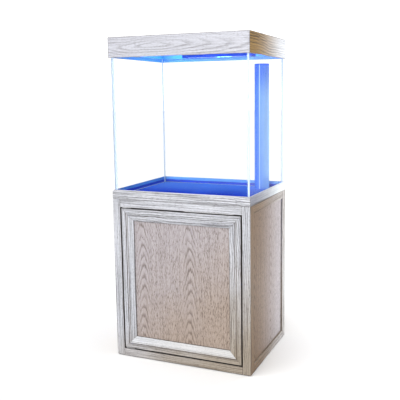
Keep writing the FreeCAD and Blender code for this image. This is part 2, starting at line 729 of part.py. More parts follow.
def hood():
    """Four mitred boards, the fixed lid with its hinge leaves, and the light."""
    section = outline(
        (0, HOOD_LOW),
        (HOOD_LIP_T, HOOD_LOW),
        (HOOD_LIP_T, TANK_TOP),
        (HOOD_BOARD_T, TANK_TOP),
        (HOOD_BOARD_T, LID_LOW),
        (HOOD_LIP_T, LID_LOW),
        (HOOD_LIP_T, HOOD_TOP),
        (0, HOOD_TOP),
    )
    boards = mitred_frame(section, HOOD_BOARD_T, WIDTH, DEPTH)
    made = {f"hood_{name}": board for name, board in boards.items()}
    hole_in = (CABLE_HOLE_X, HALF_D - HOOD_BOARD_T, CABLE_HOLE_Z)
    hole_out = (CABLE_HOLE_X, HALF_D, CABLE_HOLE_Z)
    made["hood_back"] = made["hood_back"].cut(rod(CABLE_HOLE_R, hole_in, hole_out))
    lid_x = HALF_W - HOOD_LIP_T - LID_GAP
    lid_y = HALF_D - HOOD_LIP_T - LID_GAP
    lid = block(both(lid_x), (HINGE_LINE_Y + FLAP_REAR_GAP, lid_y), (LID_LOW, LID_TOP))
    made["hood_top"] = lid.cut(hinge_recess())

    fixed_leaves = [hinge_half(x, 1, (0, 2, 4), HINGE_PIN_R) for x in both(HINGE_X)]
    pins = [rod(HINGE_PIN_R, *hinge_ends(x)) for x in both(HINGE_X)]
    made["flap_hinges_fixed"] = Part.makeCompound(fixed_leaves + pins)

    made.update(light())
    return made


def light():
    """A channel with a recessed lens, hung from the lid on two Z-shaped straps."""
    body = block(LIGHT_X, LIGHT_Y, LIGHT_Z)
    long_edges = edges_of_length(body, "x", LIGHT_X[1] - LIGHT_X[0])
    upper_edges = [e for e in long_edges if e.BoundBox.ZMin > LIGHT_Z[0]]
    body = body.makeFillet(LIGHT_EDGE_R, upper_edges)
    inner_x = (LIGHT_X[0] + LENS_INSET, LIGHT_X[1] - LENS_INSET)
    inner_y = (LIGHT_Y[0] + LENS_INSET, LIGHT_Y[1] - LENS_INSET)
    lens_low = LIGHT_Z[0] + LENS_RECESS
    middle = sum(LIGHT_Y) / 2
    web = (middle - BRACKET_T / 2, middle + BRACKET_T / 2)
    straps = []
    for x in BRACKET_X:
        width = (x - BRACKET_WIDTH / 2, x + BRACKET_WIDTH / 2)
        strap = block(width, web, (LIGHT_Z[1], LID_LOW))
        low_foot = block(width, (web[0] - BRACKET_FOOT, web[0]), (LIGHT_Z[1], LIGHT_Z[1] + BRACKET_T))
        high_foot = block(width, (web[1], web[1] + BRACKET_FOOT), (LID_LOW - BRACKET_T, LID_LOW))
        straps.append(strap.fuse(low_foot).fuse(high_foot).removeSplitter())
    return {
        "light_housing": body.cut(block(inner_x, inner_y, (LIGHT_Z[0], LIGHT_Z[0] + LED_SPACE))),
        "light_lens": block(inner_x, inner_y, (lens_low, lens_low + LENS_T)),
        "light_brackets": Part.makeCompound(straps),
    }


def flap():
    """The hinged front half of the lid, with a finger hole."""
    x = HALF_W - HOOD_LIP_T - FLAP_GAP
    y = (HOOD_LIP_T + FLAP_GAP - HALF_D, HINGE_LINE_Y - FLAP_REAR_GAP)
    board = block(both(x), y, (LID_LOW, LID_TOP)).cut(hinge_recess())
    board = board.cut(upright(FINGER_HOLE_R, 0, FINGER_HOLE_Y, (LID_LOW, LID_TOP)))
    leaves = [hinge_half(x, -1, (1, 3), HINGE_PIN_R + RUNNING_GAP) for x in both(HINGE_X)]
    return {"hood_flap": board, "flap_hinges_moving": Part.makeCompound(leaves)}


def hinge_ends(x):
    z = LID_TOP + HINGE_RISE
    half = HINGE_LENGTH / 2
    return ((x - half, HINGE_LINE_Y, z), (x + half, HINGE_LINE_Y, z))


def hinge_recess():
    """Room for the knuckles between the lid and the flap."""
    recesses = []
    half = HINGE_LENGTH / 2 + HINGE_END_GAP
    y = (HINGE_LINE_Y - HINGE_RECESS, HINGE_LINE_Y + HINGE_RECESS)
    for x in both(HINGE_X):
        recesses.append(block((x - half, x + half), y, (LID_TOP - HINGE_RECESS, LID_TOP)))
    return recesses[0].fuse(recesses[1])


def hinge_half(x, side, numbers, bore_r):
    """One leaf of a butt hinge with its knuckles."""
    z = (LID_TOP, LID_TOP + LEAF_T)
    axis_z = LID_TOP + HINGE_RISE
    left = x - HINGE_LENGTH / 2
    pitch = HINGE_LENGTH / KNUCKLES
    edge = KNUCKLE_R + KNUCKLE_GAP * 2
    leaf_y = sorted((HINGE_LINE_Y + side * edge, HINGE_LINE_Y + side * LEAF_WIDTH))
    leaf = block((left, left + HINGE_LENGTH), leaf_y, z)
    tab_y = sorted((HINGE_LINE_Y, HINGE_LINE_Y + side * edge))
    for number in numbers:
        ends = (left + number * pitch + KNUCKLE_GAP, left + (number + 1) * pitch - KNUCKLE_GAP)
        leaf = leaf.fuse(block(ends, tab_y, z))
        leaf = leaf.fuse(rod(KNUCKLE_R, (ends[0], HINGE_LINE_Y, axis_z), (ends[1], HINGE_LINE_Y, axis_z)))
    return leaf.cut(rod(bore_r, *hinge_ends(x))).removeSplitter()


def main():
    nodes = {}
    for group in (cabinet_frame, rim, tank, overflow, sump, pump, door_fittings, door, hood, flap):
        nodes.update(group())
    os.makedirs("parts", exist_ok=True)
    for name, shape in nodes.items():
        shape.exportStep(f"parts/{name}.step")
    print(len(nodes), "nodes written")


main()
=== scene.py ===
import json
import math
import random
from collections import namedtuple

import bmesh
import bpy
from mathutils import Matrix, Vector, noise

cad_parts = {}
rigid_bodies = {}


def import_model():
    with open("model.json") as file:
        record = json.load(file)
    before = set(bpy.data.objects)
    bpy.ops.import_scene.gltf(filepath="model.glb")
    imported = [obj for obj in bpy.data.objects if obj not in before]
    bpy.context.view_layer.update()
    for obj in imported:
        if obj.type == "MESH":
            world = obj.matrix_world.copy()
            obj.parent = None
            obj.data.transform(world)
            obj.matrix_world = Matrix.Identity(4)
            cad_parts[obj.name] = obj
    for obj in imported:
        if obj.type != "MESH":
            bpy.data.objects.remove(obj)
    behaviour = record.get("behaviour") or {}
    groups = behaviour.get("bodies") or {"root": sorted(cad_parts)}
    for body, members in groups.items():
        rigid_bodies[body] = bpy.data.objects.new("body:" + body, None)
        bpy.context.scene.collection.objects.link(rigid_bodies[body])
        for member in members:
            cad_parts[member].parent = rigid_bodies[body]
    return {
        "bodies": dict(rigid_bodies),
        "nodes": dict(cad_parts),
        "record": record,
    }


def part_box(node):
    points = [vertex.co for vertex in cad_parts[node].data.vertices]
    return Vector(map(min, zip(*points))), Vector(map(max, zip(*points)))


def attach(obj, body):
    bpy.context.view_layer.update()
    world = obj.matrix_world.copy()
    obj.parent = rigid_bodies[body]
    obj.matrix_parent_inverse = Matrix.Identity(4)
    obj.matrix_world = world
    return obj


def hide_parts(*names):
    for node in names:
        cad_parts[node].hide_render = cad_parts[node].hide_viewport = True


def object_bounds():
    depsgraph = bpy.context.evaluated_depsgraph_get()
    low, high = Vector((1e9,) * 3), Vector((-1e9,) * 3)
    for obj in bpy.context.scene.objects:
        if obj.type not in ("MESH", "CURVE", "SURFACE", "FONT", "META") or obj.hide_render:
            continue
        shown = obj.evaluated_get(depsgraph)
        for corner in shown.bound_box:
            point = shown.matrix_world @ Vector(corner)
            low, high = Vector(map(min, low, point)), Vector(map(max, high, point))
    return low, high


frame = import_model()
CAD_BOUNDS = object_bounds()

# Metres. +Z is up, the door faces -Y, and the origin is the middle of the footprint.
MM = 0.001
BOX = {name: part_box(name) for name in frame["nodes"]}
BODY_OF = {n: body for body, members in frame["record"]["behaviour"]["bodies"].items() for n in members}
SLOT_OF = {part["node"]: part["material_slot"] for part in frame["record"]["subparts"]}
FLOOR_GLASS_TOP = BOX["glass_bottom"][1].z
RIM_TOP = BOX["rim_front"][1].z
HALF_DEPTH = CAD_BOUNDS[1].y


# Shader graphs

class Graph:
    """Lays the shader nodes of one material or world.

    A value is a number, a tuple or another node's output. point is the object's own coordinates.
    """

    def __init__(self, name, library=bpy.data.materials):
        self.owner = library.new(name)
        self.owner.use_nodes = True
        self.tree = self.owner.node_tree
        self.tree.nodes.clear()
        self.place = self.node("ShaderNodeTexCoord")
        self.point = self.place.outputs["Object"]

    def node(self, kind, inputs=None, **settings):
        made = self.tree.nodes.new(kind)
        for key, value in settings.items():
            setattr(made, key, value)
        for key, value in (inputs or {}).items():
            self.feed(made.inputs[key], value)
        return made

    def feed(self, socket, value):
        if isinstance(value, bpy.types.NodeSocket):
            self.tree.links.new(value, socket)
        else:
            socket.default_value = value

    def math(self, operation, *values, clamp=False):
        inputs = dict(enumerate(values))
        return self.node("ShaderNodeMath", inputs, operation=operation, use_clamp=clamp).outputs[0]

    def times(self, first, second):
        return self.math("MULTIPLY", first, second)

    def minus(self, first, second):
        return self.math("SUBTRACT", first, second)

    def scaled(self, value, factor, offset):
        return self.math("MULTIPLY_ADD", value, factor, offset)

    def ease(self, value, start, end, low=0.0, high=1.0):
        """A smooth step from low to high as value goes from start to end."""
        inputs = {"Value": value, "From Min": start, "From Max": end, "To Min": low, "To Max": high}
        return self.node("ShaderNodeMapRange", inputs, interpolation_type="SMOOTHSTEP").outputs[0]

    def axes(self, vector=None):
        return list(self.node("ShaderNodeSeparateXYZ", {0: vector or self.point}).outputs)

    def normal(self):
        return self.axes(self.place.outputs["Normal"])

    def stretched_point(self, scale):
        """The object's own coordinates, with each multiplied by its scale."""
        return self.node("ShaderNodeMapping", {"Vector": self.point, "Scale": scale}).outputs[0]

    def vector(self, x, y, z):
        return self.node("ShaderNodeCombineXYZ", {0: x, 1: y, 2: z}).outputs[0]

    def noise(self, vector, scale, detail=2.0, roughness=0.5):
        inputs = {"Vector": vector, "Scale": scale, "Detail": detail, "Roughness": roughness}
        return self.node("ShaderNodeTexNoise", inputs).outputs["Fac"]

    def cells(self, vector, scale, feature="F1"):
        inputs = {"Vector": vector, "Scale": scale}
        return self.node("ShaderNodeTexVoronoi", inputs, feature=feature).outputs["Distance"]

    def mix(self, share, first, second):
        inputs = {0: share, 6: first, 7: second}
        return self.node("ShaderNodeMix", inputs, data_type="RGBA").outputs[2]

    def bump(self, height, distance, strength=1.0):
        inputs = {"Height": height, "Distance": distance, "Strength": strength}
        return self.node("ShaderNodeBump", inputs).outputs[0]

    def surface(self, **inputs):
        """A Principled shader, with its input names written with underscores."""
        named = {key.replace("_", " "): value for key, value in inputs.items()}
        return self.node("ShaderNodeBsdfPrincipled", named).outputs[0]

    def lit_through(self, shader, tint):
        """The shader, but clear and tinted for shadow rays, so that lamps shine through it."""
        through = self.node("ShaderNodeBsdfTransparent", {"Color": tint}).outputs[0]
        shadow = self.node("ShaderNodeLightPath").outputs["Is Shadow Ray"]
        return self.node("ShaderNodeMixShader", {0: shadow, 1: shader, 2: through}).outputs[0]

    def finish(self, shader, output="ShaderNodeOutputMaterial"):
        self.node(output, {"Surface": shader})
        return self.owner


def rgb(red, green, blue):
    return (red, green, blue, 1.0)


def edge_distance(g, box):
    """How far a point on a board's surface is from the nearest edge of the board's box."""
    gaps = []
    for value, low, high in zip(g.axes(), box[0], box[1]):
        offset = g.minus(value, (low + high) / 2)
        gaps.append(g.minus((high - low) / 2, g.math("ABSOLUTE", offset)))
    nearest = g.math("MINIMUM", gaps[0], gaps[1])
    further = g.math("MAXIMUM", gaps[0], gaps[1])
    return g.math("MAXIMUM", nearest, g.math("MINIMUM", further, gaps[2]))


# Materials: wood. Each tone is a pair of colours, for the wood and for its grain.

HOOD_TONE = (rgb(0.600, 0.605, 0.665), rgb(0.32, 0.315, 0.345))
FRAME_TONE = (rgb(0.635, 0.645, 0.695), rgb(0.205, 0.205, 0.22))
PANEL_TONE = (rgb(0.455, 0.412, 0.428), rgb(0.225, 0.188, 0.182))
# Low tones: darker and warmer, partly the wood's stain and partly painted shade
FRAME_LOW = (rgb(0.385, 0.330, 0.265), rgb(0.155, 0.120, 0.085))
PANEL_LOW = (rgb(0.395, 0.312, 0.255), rgb(0.170, 0.118, 0.085))
# Side tones: a pair at the front in painted shade, and a pair at the back in painted light
HOOD_SIDE_PAINTED_LIGHT = (rgb(0.40, 0.235, 0.060), rgb(0.065, 0.032, 0.005), rgb(0.88, 0.92, 0.98), rgb(0.50, 0.50, 0.53))
RIM_SIDE_PAINTED_LIGHT = (rgb(0.32, 0.330, 0.400), rgb(0.11, 0.105, 0.12), rgb(0.95, 1.00, 1.00), rgb(0.72, 0.79, 0.84))
FRAME_SIDE_PAINTED_LIGHT = (rgb(0.24, 0.150, 0.080), rgb(0.070, 0.040, 0.02), rgb(0.66, 0.64, 0.64), rgb(0.26, 0.23, 0.21))
PANEL_SIDE_PAINTED_LIGHT = (
    rgb(0.225, 0.138, 0.076), rgb(0.098, 0.056, 0.026), rgb(0.57, 0.530, 0.56), rgb(0.31, 0.28, 0.29)
)
PORE_DARK = rgb(0.085, 0.068, 0.055)
BEVEL_PAINTED_HIGHLIGHT = rgb(0.86, 0.89, 0.93)
EDGE_PAINTED_SHADE = rgb(0.075, 0.060, 0.050)
GAP_PAINTED_SHADE = rgb(0.018, 0.016, 0.015)
EDGE_SHADE_WIDTH = 2.1 * MM           # of the dark lines of painted shade along a board's edges
WIDE_EDGE_SHADE = 1.7                 # how much wider those lines are on the hood
MITRE_SHADE_WIDTH = 1.0 * MM

# How far in from the door's edge each dark line of painted shade lies, and its width
DOOR_SHADE_LINES = ((19.5 * MM, 2.0 * MM), (27.0 * MM, 1.3 * MM), (53.0 * MM, 2.2 * MM))

VENEER_LEAF = 0.217
LEAF_SHIFT = 0.31               # how far a joint between leaves lies from the panel's middle, in leaves
HEART_WIDTH = 0.050             # how far from a leaf's heart its rings stay strong
PEAK_SLOPE = 0.55               # how steeply the legs of a cathedral peak run, and how round its tip is
PEAK_ROUND = 0.009
RING_WANDER = 0.055             # how far the rings stray, and how frayed they are
RING_FRAY = 0.0052
FIBRE_SLANT = 0.83              # how fast the fibres change through a board's thickness
GAP_SHADE_REACH = 0.280               # the painted gap shade stops here, short of the outer faces of the posts
WARM_LEAN = 0.7                 # the warm tone reaches higher towards the right

# How a board was cut: ring spacing, tilt of the saw, how far the cut is beside the heart and above it,
# how dark the rings, the streaks and the flecks are, and the width of its veneer leaves (0: a solid board)
Figure = namedtuple("Figure", "spacing tilt off_heart depth strength leaf", defaults=(0.0,))

FLAME = Figure(0.0090, (0.10, 0.13), (-0.008, 0.008), (0.008, 0.02), (0.66, 0.45, 0.35))
STRAIGHT = Figure(0.0075, (0.02, 0.04), (0.07, 0.12), (0.03, 0.06), (0.60, 0.85, 0.30))
LINED = Figure(0.0105, (0.02, 0.03), (0.07, 0.08), (0.02, 0.03), (1.00, 0.60, 0.20))
CATHEDRAL = Figure(0.0054, (0.12, 0.14), (0.0, 0.0), (0.050, 0.055), (1.15, 0.35, 0.90), VENEER_LEAF)


def grain_space(g, grain, thick, figure, box, rng):
    """A point as distances along the grain, across it from the heart, and down to the heart.

    The last value changes across every face, so fibres drawn with it run along the narrow faces too.
    """
    middle = (box[0] + box[1]) / 2
    values = [g.minus(value, centre) for value, centre in zip(g.axes(), middle)]
    along = g.math("ADD", values[grain], rng.uniform(-0.1, 0.1))
    across = g.math("ADD", values[3 - grain - thick], rng.uniform(*figure.off_heart))
    way = rng.choice((-1, 1))
    tilt = rng.uniform(*figure.tilt) * (1 if figure.leaf else way)
    down = g.scaled(along, tilt, rng.uniform(*figure.depth))
    down = g.math("ADD", down, values[thick])
    return along, across, down, g.scaled(values[thick], FIBRE_SLANT, across)


def stretched(g, along, fibre, fine_along, fine_across, lot):
    """Where to read a noise, finer across the grain than along it. Each lot is another piece of the noise."""
    return g.vector(g.times(along, fine_along), g.times(fibre, fine_across), lot)


def rings(g, along, across, down, fibre, figure, lot):
    """Dark late wood, 0 to 1, from growth rings that wander and fade, and how near the leaf's heart it is."""
    heart = 0.0
    if figure.leaf:
        across = g.math("ADD", across, figure.leaf * LEAF_SHIFT)
        across = g.math("FLOORED_MODULO", across, figure.leaf)
        across = g.minus(across, figure.leaf / 2)
        heart = near(g, across, 0.0, HEART_WIDTH)
        fibre = across
    wander = g.noise(stretched(g, along, fibre, 3.2, 6.0, lot), 1.0, 2.0)
    bent = g.scaled(g.minus(wander, 0.5), RING_WANDER, across)
    if figure.leaf:
        leg = g.times(bent, PEAK_SLOPE)
        squares = g.scaled(leg, leg, PEAK_ROUND ** 2)
        distance = g.math("ADD", g.math("SQRT", squares), down)
    else:
        squares = g.math("ADD", g.times(bent, bent), g.times(down, down))
        distance = g.math("SQRT", squares)
    frayed = g.noise(stretched(g, along, fibre, 16.0, 190.0, lot), 1.0, 3.0)
    radius = g.scaled(frayed, RING_FRAY, distance)
    ring = g.math("FRACT", g.math("DIVIDE", radius, figure.spacing))
    line = g.math("MAXIMUM", g.ease(ring, 0.0, 0.5, 1.0, 0.0), g.ease(ring, 0.84, 1.0))
    fade = g.noise(stretched(g, along, fibre, 2.0, 24.0, lot + 3.0), 1.0, 2.0)
    fade = g.ease(fade, 0.34, 0.64, 0.25, 1.0)
    if figure.leaf:
        fade = g.math("MAXIMUM", g.times(fade, 0.5), heart)
        number = g.math("FLOOR", g.math("DIVIDE", radius, figure.spacing))
        year = g.node("ShaderNodeTexWhiteNoise", {"W": number}, noise_dimensions="1D").outputs["Value"]
        fade = g.times(fade, g.scaled(year, 0.7, 0.3))
    return g.times(line, fade), heart


def near(g, value, place, width):
    """1 where value is at place, easing to 0 at width away."""
    gap = g.math("ABSOLUTE", g.minus(value, place))
    return g.ease(gap, 0.0, width, 1.0, 0.0)


def door_shade_lines(g):
    """Dark lines of painted shade in the door frame's quirks, at its inner edge and down its mitres."""
    low, high = BOX["door_stile_left"][0], BOX["door_stile_right"][1]
    middle, half = (low + high) / 2, (high - low) / 2
    x, _, z = g.axes()
    from_side = g.minus(half.x, g.math("ABSOLUTE", g.minus(x, middle.x)))
    from_end = g.minus(half.z, g.math("ABSOLUTE", g.minus(z, middle.z)))
    inset = g.math("MINIMUM", from_side, from_end)
    dark = near(g, g.minus(from_side, from_end), 0.0, MITRE_SHADE_WIDTH)
    for place, width in DOOR_SHADE_LINES:
        dark = g.math("MAXIMUM", dark, near(g, inset, place, width))
    return dark


def gap_painted_shade(g):
    """Painted shade on the faces that look into the gap round the door, darkest a few millimetres in."""
    x, y, _ = g.axes()
    facing = g.math("ABSOLUTE", g.normal()[1])
    within = g.ease(g.math("ABSOLUTE", x), GAP_SHADE_REACH, GAP_SHADE_REACH + 2 * MM, 1.0, 0.0)
    depth = g.math("ADD", y, HALF_DEPTH)
    shade_by_depth = g.times(g.ease(depth, 0.0, 4 * MM), g.ease(depth, 9 * MM, 19 * MM, 1.0, 0.15))
    return g.times(g.ease(facing, 0.3, 0.6, 1.0, 0.0), g.times(within, shade_by_depth))


def marks_of(node):
    """What the wood of a node shows besides its grain: painted shade and painted highlights."""
    if node.startswith(("door_stile", "door_rail")):
        return {"door shade lines", "gap shade", "moulding highlight"}
    if node.startswith(("post_front", "rail_front")):
        return {"gap shade"}
    if node.startswith("rim_"):
        return {"bevel highlight"}
    if node.startswith("hood_"):
        return {"wide edge shade"}
    return set()


def toned(g, share, tones, low_span):
    """The wood's colour where a share of it is dark grain.

    tones are the upper tone, the lower one, and the sides' painted shade at the front and painted light at
    the back.
    """
    upper, lower, side = tones
    x, y, z = g.axes()
    cloud = g.minus(g.noise(g.point, 6.0, 2.0), 0.5)
    # The low tone comes in towards the bottom and the right: partly stain, partly painted shade.
    drift = g.scaled(cloud, 0.25, g.scaled(x, -WARM_LEAN, z))
    warmth = g.ease(drift, *low_span, 1.0, 0.0)
    front_colour = g.mix(warmth, g.mix(share, *upper), g.mix(share, *lower))
    # Faces towards the sides take painted shade at the front, which turns to painted light at the back.
    painted_light_rearward = g.math("POWER", g.ease(y, -HALF_DEPTH * 1.1, HALF_DEPTH), 1.6)
    side_painted_light = g.mix(painted_light_rearward, g.mix(share, *side[:2]), g.mix(share, *side[2:]))
    sideways = g.math("ABSOLUTE", g.normal()[0])
    return g.mix(g.ease(sideways, 0.3, 0.8), front_colour, side_painted_light)


def marked(g, colour, pore, box, marks):
    """Adds pores, painted shade along the edges, and the painted highlights and shade that the marks name."""
    upward = g.normal()[2]
    # Painted highlights on the upward faces of the rim's bevel and of the door's mouldings.
    if "bevel highlight" in marks:
        colour = g.mix(near(g, upward, 0.7, 0.3), colour, BEVEL_PAINTED_HIGHLIGHT)
    if "moulding highlight" in marks:
        facing = g.times(g.ease(upward, 0.06, 0.20), g.ease(upward, 0.6, 0.9, 0.45, 0.0))
        colour = g.mix(facing, colour, BEVEL_PAINTED_HIGHLIGHT)
    colour = g.mix(g.times(pore, 0.8), colour, PORE_DARK)
    # Painted shade: dark lines along every edge of the board, and in the door's quirks and mitres.
    edge_shade_width = EDGE_SHADE_WIDTH * (WIDE_EDGE_SHADE if "wide edge shade" in marks else 1.0)
    dark = g.ease(edge_distance(g, box), 0.0, edge_shade_width, 1.0, 0.0)
    if "door shade lines" in marks:
        dark = g.math("MAXIMUM", dark, door_shade_lines(g))
    patchy = g.ease(g.noise(g.point, 30.0, 3.0), 0.35, 0.65, 0.55, 1.0)
    colour = g.mix(g.times(dark, g.times(patchy, 0.9)), colour, EDGE_PAINTED_SHADE)
    if "gap shade" in marks:
        colour = g.mix(gap_painted_shade(g), colour, GAP_PAINTED_SHADE)
    return colour


def oak(name, grain, thick, figure, tones, low_span, seed, box, marks):
    """Limed oak with open pores and streaks, and dark lines of painted shade along its edges."""
    rng = random.Random(seed)
    g = Graph(name)
    along, across, down, fibre = grain_space(g, grain, thick, figure, box, rng)
    lot = rng.uniform(0, 9)
    line, heart = rings(g, along, across, down, fibre, figure, lot)
    streak = g.noise(stretched(g, along, fibre, 3.0, 210.0, lot + 1.0), 1.0, 4.0, 0.65)
    fleck = g.noise(stretched(g, along, fibre, 70.0, 300.0, lot + 2.0), 1.0, 3.0, 0.6)
    pore = g.noise(stretched(g, along, fibre, 70.0, 1300.0, lot + 4.0), 1.0, 1.0)
    pore = g.times(g.ease(pore, 0.58, 0.68), g.scaled(line, 0.6, 0.4))
    ring_share, streak_share, fleck_share = figure.strength
    share = g.math("ADD", g.times(line, ring_share), g.ease(streak, 0.42, 0.68, 0.0, streak_share))
    flecks = g.times(g.ease(fleck, 0.50, 0.66, 0.0, fleck_share), g.scaled(heart, -0.75, 1.0))
    share = g.math("ADD", share, flecks, clamp=True)
    relief = g.minus(g.scaled(streak, 0.35, g.times(line, -0.2)), pore)
    return g.finish(
        g.surface(
            Base_Color=marked(g, toned(g, share, tones, low_span), pore, box, marks),
            Roughness=g.math("ADD", g.scaled(streak, 0.22, 0.38), g.times(pore, 0.25), clamp=True),
            Normal=g.bump(relief, 0.00018, 0.6),
            Coat_Weight=0.08,
            Coat_Roughness=0.35,
            Specular_IOR_Level=0.30,
        )
    )


PLIES = 9


def plywood(name, box):
    """Birch plywood: a peeled face with flame figure, and thin plies on the edges."""
    g = Graph(name)
    x, y, z = g.axes()
    flame = g.vector(g.times(x, 1.2), g.times(y, 9.0), 0.0)
    swirl = g.noise(flame, 2.0, 3.0)
    bands = g.math("SINE", g.times(swirl, 60.0))
    fibre = g.noise(g.vector(g.times(x, 20.0), g.times(y, 700.0), 0.0), 1.0, 3.0)
    face = g.mix(g.ease(bands, -1.0, 1.0, 0.0, 0.45), rgb(0.62, 0.47, 0.29), rgb(0.50, 0.35, 0.20))
    face = g.mix(g.ease(fibre, 0.4, 0.7, 0.0, 0.35), face, rgb(0.42, 0.29, 0.16))
    height = g.minus(z, box[0].z)
    layer = g.math("FRACT", g.times(height, PLIES / 2 / (box[1].z - box[0].z)))
    end_grain = g.noise(g.point, 900.0, 2.0)
    edge = g.mix(g.ease(layer, 0.46, 0.54), rgb(0.60, 0.46, 0.30), rgb(0.36, 0.24, 0.14))
    edge = g.mix(g.ease(end_grain, 0.5, 0.7, 0.0, 0.4), edge, rgb(0.25, 0.16, 0.09))
    upward = g.math("ABSOLUTE", g.normal()[2])
    return g.finish(
        g.surface(
            Base_Color=g.mix(g.ease(upward, 0.4, 0.6), edge, face),
            Roughness=g.scaled(fibre, 0.25, 0.5),
            Normal=g.bump(fibre, 0.0002, 0.5),
        )
    )


def hardboard(name):
    """Pressed brown fibreboard with a smooth face full of short dark and light fibres."""
    g = Graph(name)
    chips = g.cells(g.point, 420.0)
    fibre = g.noise(g.point, 260.0, 5.0, 0.7)
    cloud = g.noise(g.point, 9.0, 3.0)
    colour = g.mix(cloud, rgb(0.40, 0.28, 0.17), rgb(0.30, 0.20, 0.115))
    colour = g.mix(g.ease(fibre, 0.45, 0.7, 0.0, 0.55), colour, rgb(0.17, 0.105, 0.055))
    colour = g.mix(g.ease(chips, 0.1, 0.25, 0.3, 0.0), colour, rgb(0.50, 0.38, 0.25))
    return g.finish(
        g.surface(
            Base_Color=colour,
            Roughness=g.scaled(fibre, 0.3, 0.45),
            Normal=g.bump(fibre, 0.0003, 0.4),
        )
    )


# Materials: glass and clear plastic

def clear(name, tint, ior, roughness, haze_scale, shadow_tint):
    """Clear sheet that lets lamps through, with faint wiping marks in its gloss."""
    g = Graph(name)
    smear = g.noise(g.point, haze_scale, 4.0, 0.6)
    glass = g.surface(
        Base_Color=tint,
        Roughness=g.ease(smear, 0.55, 0.8, roughness, roughness + 0.02),
        IOR=ior,
        Transmission_Weight=1.0,
        Specular_Tint=rgb(0.35, 0.35, 0.35),
    )
    return g.finish(g.lit_through(glass, shadow_tint))


def sheet_edge(name, dull, pale, glow):
    """The ground and polished narrow edge of a clear sheet, with fine grinding lines and a faint painted
    glow.
    """
    g = Graph(name)
    lines = g.noise(g.stretched_point((1500.0, 1500.0, 30.0)), 1.0, 2.0)
    return g.finish(
        g.surface(
            Base_Color=g.mix(lines, dull, pale),
            Roughness=g.scaled(lines, 0.2, 0.1),
            Normal=g.bump(lines, 0.00003, 0.4),
            # Painted light: the edge glows faintly though it is no lamp.
            Emission_Color=rgb(0.55, 0.74, 1.0),
            Emission_Strength=glow,
        )
    )


def floor_glass(name):
    """Glass painted deep blue behind, with painted light that lightens it towards the back."""
    g = Graph(name)
    y = g.axes()[1]
    cloud = g.noise(g.point, 5.0, 3.0)
    fleck = g.ease(g.noise(g.point, 520.0, 2.0), 0.62, 0.72)
    # Painted light: the floor grows lighter towards the back.
    reach = g.scaled(g.minus(cloud, 0.5), 0.16, y)
    painted_light_rearward = g.ease(reach, -HALF_DEPTH * 0.8, HALF_DEPTH)
    colour = g.mix(painted_light_rearward, rgb(0.002, 0.008, 0.50), rgb(0.150, 0.330, 0.86))
    upward = g.ease(g.normal()[2], 0.5, 0.9)
    colour = g.mix(upward, rgb(0.010, 0.018, 0.42), colour)
    colour = g.mix(g.times(fleck, 0.25), colour, rgb(0.16, 0.30, 0.85))
    return g.finish(
        g.surface(
            Base_Color=colour,
            Roughness=g.scaled(cloud, 0.10, 0.20),
            Normal=g.bump(g.noise(g.point, 90.0, 2.0), 0.0001, 0.15),
            Specular_IOR_Level=0.0,
        )
    )


HIGHLIGHT_TURN = math.radians(-90)   # where the painted highlight runs, as an angle about the tube
HIGHLIGHT_SPREAD = 0.08              # half the painted highlight's width, as an angle


def blue_tube(name):
    """Translucent blue acrylic with a dark upper rim, and painted light: deepest at the top, paler on one
    side, a faint glow and a pale upright highlight.
    """
    g = Graph(name)
    x, y, z = g.axes()
    low, high = BOX["overflow_tube"]
    middle = (low + high) / 2
    turn = g.math("ARCTAN2", g.minus(y, middle.y), g.minus(x, middle.x))
    lines = g.noise(g.vector(g.times(turn, 30.0), g.times(z, 1.5), 0.0), 1.0, 2.0)
    # Painted light: paler on the +X side, where the light falls, and deepest blue at the top, under the
    # hood's LEDs.
    side = g.ease(x, middle.x - 0.024, middle.x + 0.030)
    deep = g.mix(side, rgb(0.035, 0.175, 0.68), rgb(0.50, 0.72, 0.82))
    upper = g.mix(side, rgb(0.004, 0.105, 0.68), rgb(0.16, 0.28, 0.66))
    colour = g.mix(g.ease(z, high.z - 0.16, high.z - 0.02), deep, upper)
    colour = g.mix(g.ease(lines, 0.4, 0.7, 0.0, 0.12), colour, rgb(0.40, 0.62, 0.95))
    # Painted highlight: a pale upright line down the tube.
    painted_highlight = near(g, turn, HIGHLIGHT_TURN, HIGHLIGHT_SPREAD)
    colour = g.mix(painted_highlight, colour, rgb(0.80, 0.92, 1.0))
    colour = g.mix(g.ease(z, high.z - 0.012, high.z - 0.001), colour, rgb(0.02, 0.10, 0.85))
    smear = g.noise(g.point, 60.0, 3.0)
    # Its emission is painted light: the tube glows faintly though it is no lamp, most along the painted
    # highlight.
    tinted = g.surface(
        Base_Color=colour,
        Roughness=g.scaled(smear, 0.04, 0.03),
        IOR=1.30,
        Transmission_Weight=0.25,
        Specular_Tint=rgb(0.3, 0.6, 1.0),
        Emission_Color=g.mix(painted_highlight, rgb(0.04, 0.26, 1.0), rgb(0.70, 0.95, 1.0)),
        Emission_Strength=0.22,
        Normal=g.bump(lines, 0.0001, 0.04),
    )
    return g.finish(g.lit_through(tinted, rgb(0.45, 0.65, 1.0)))


def rim_film(name):
    """Blue edge film behind the glass: deep blue up to the middle of the rim, and above it a pale blue of
    painted light.
    """
    g = Graph(name)
    z = g.axes()[2]
    middle = (FLOOR_GLASS_TOP + RIM_TOP) / 2
    wave = g.scaled(g.noise(g.point, 14.0), 0.004, z)
    # Above the middle, painted light from the hood's LEDs and the white surround.
    colour = g.mix(g.ease(wave, middle, middle + 0.004), rgb(0.001, 0.040, 0.62), rgb(0.15, 0.45, 0.92))
    fine = g.noise(g.point, 700.0, 2.0)
    return g.finish(
        g.surface(
            Base_Color=g.mix(g.ease(fine, 0.4, 0.7, 0.0, 0.12), colour, rgb(0.6, 0.75, 0.95)),
            Roughness=g.scaled(fine, 0.2, 0.25),
            Normal=g.bump(fine, 0.00005, 0.4),
        )
    )


# Materials: moulded, cast and metal parts

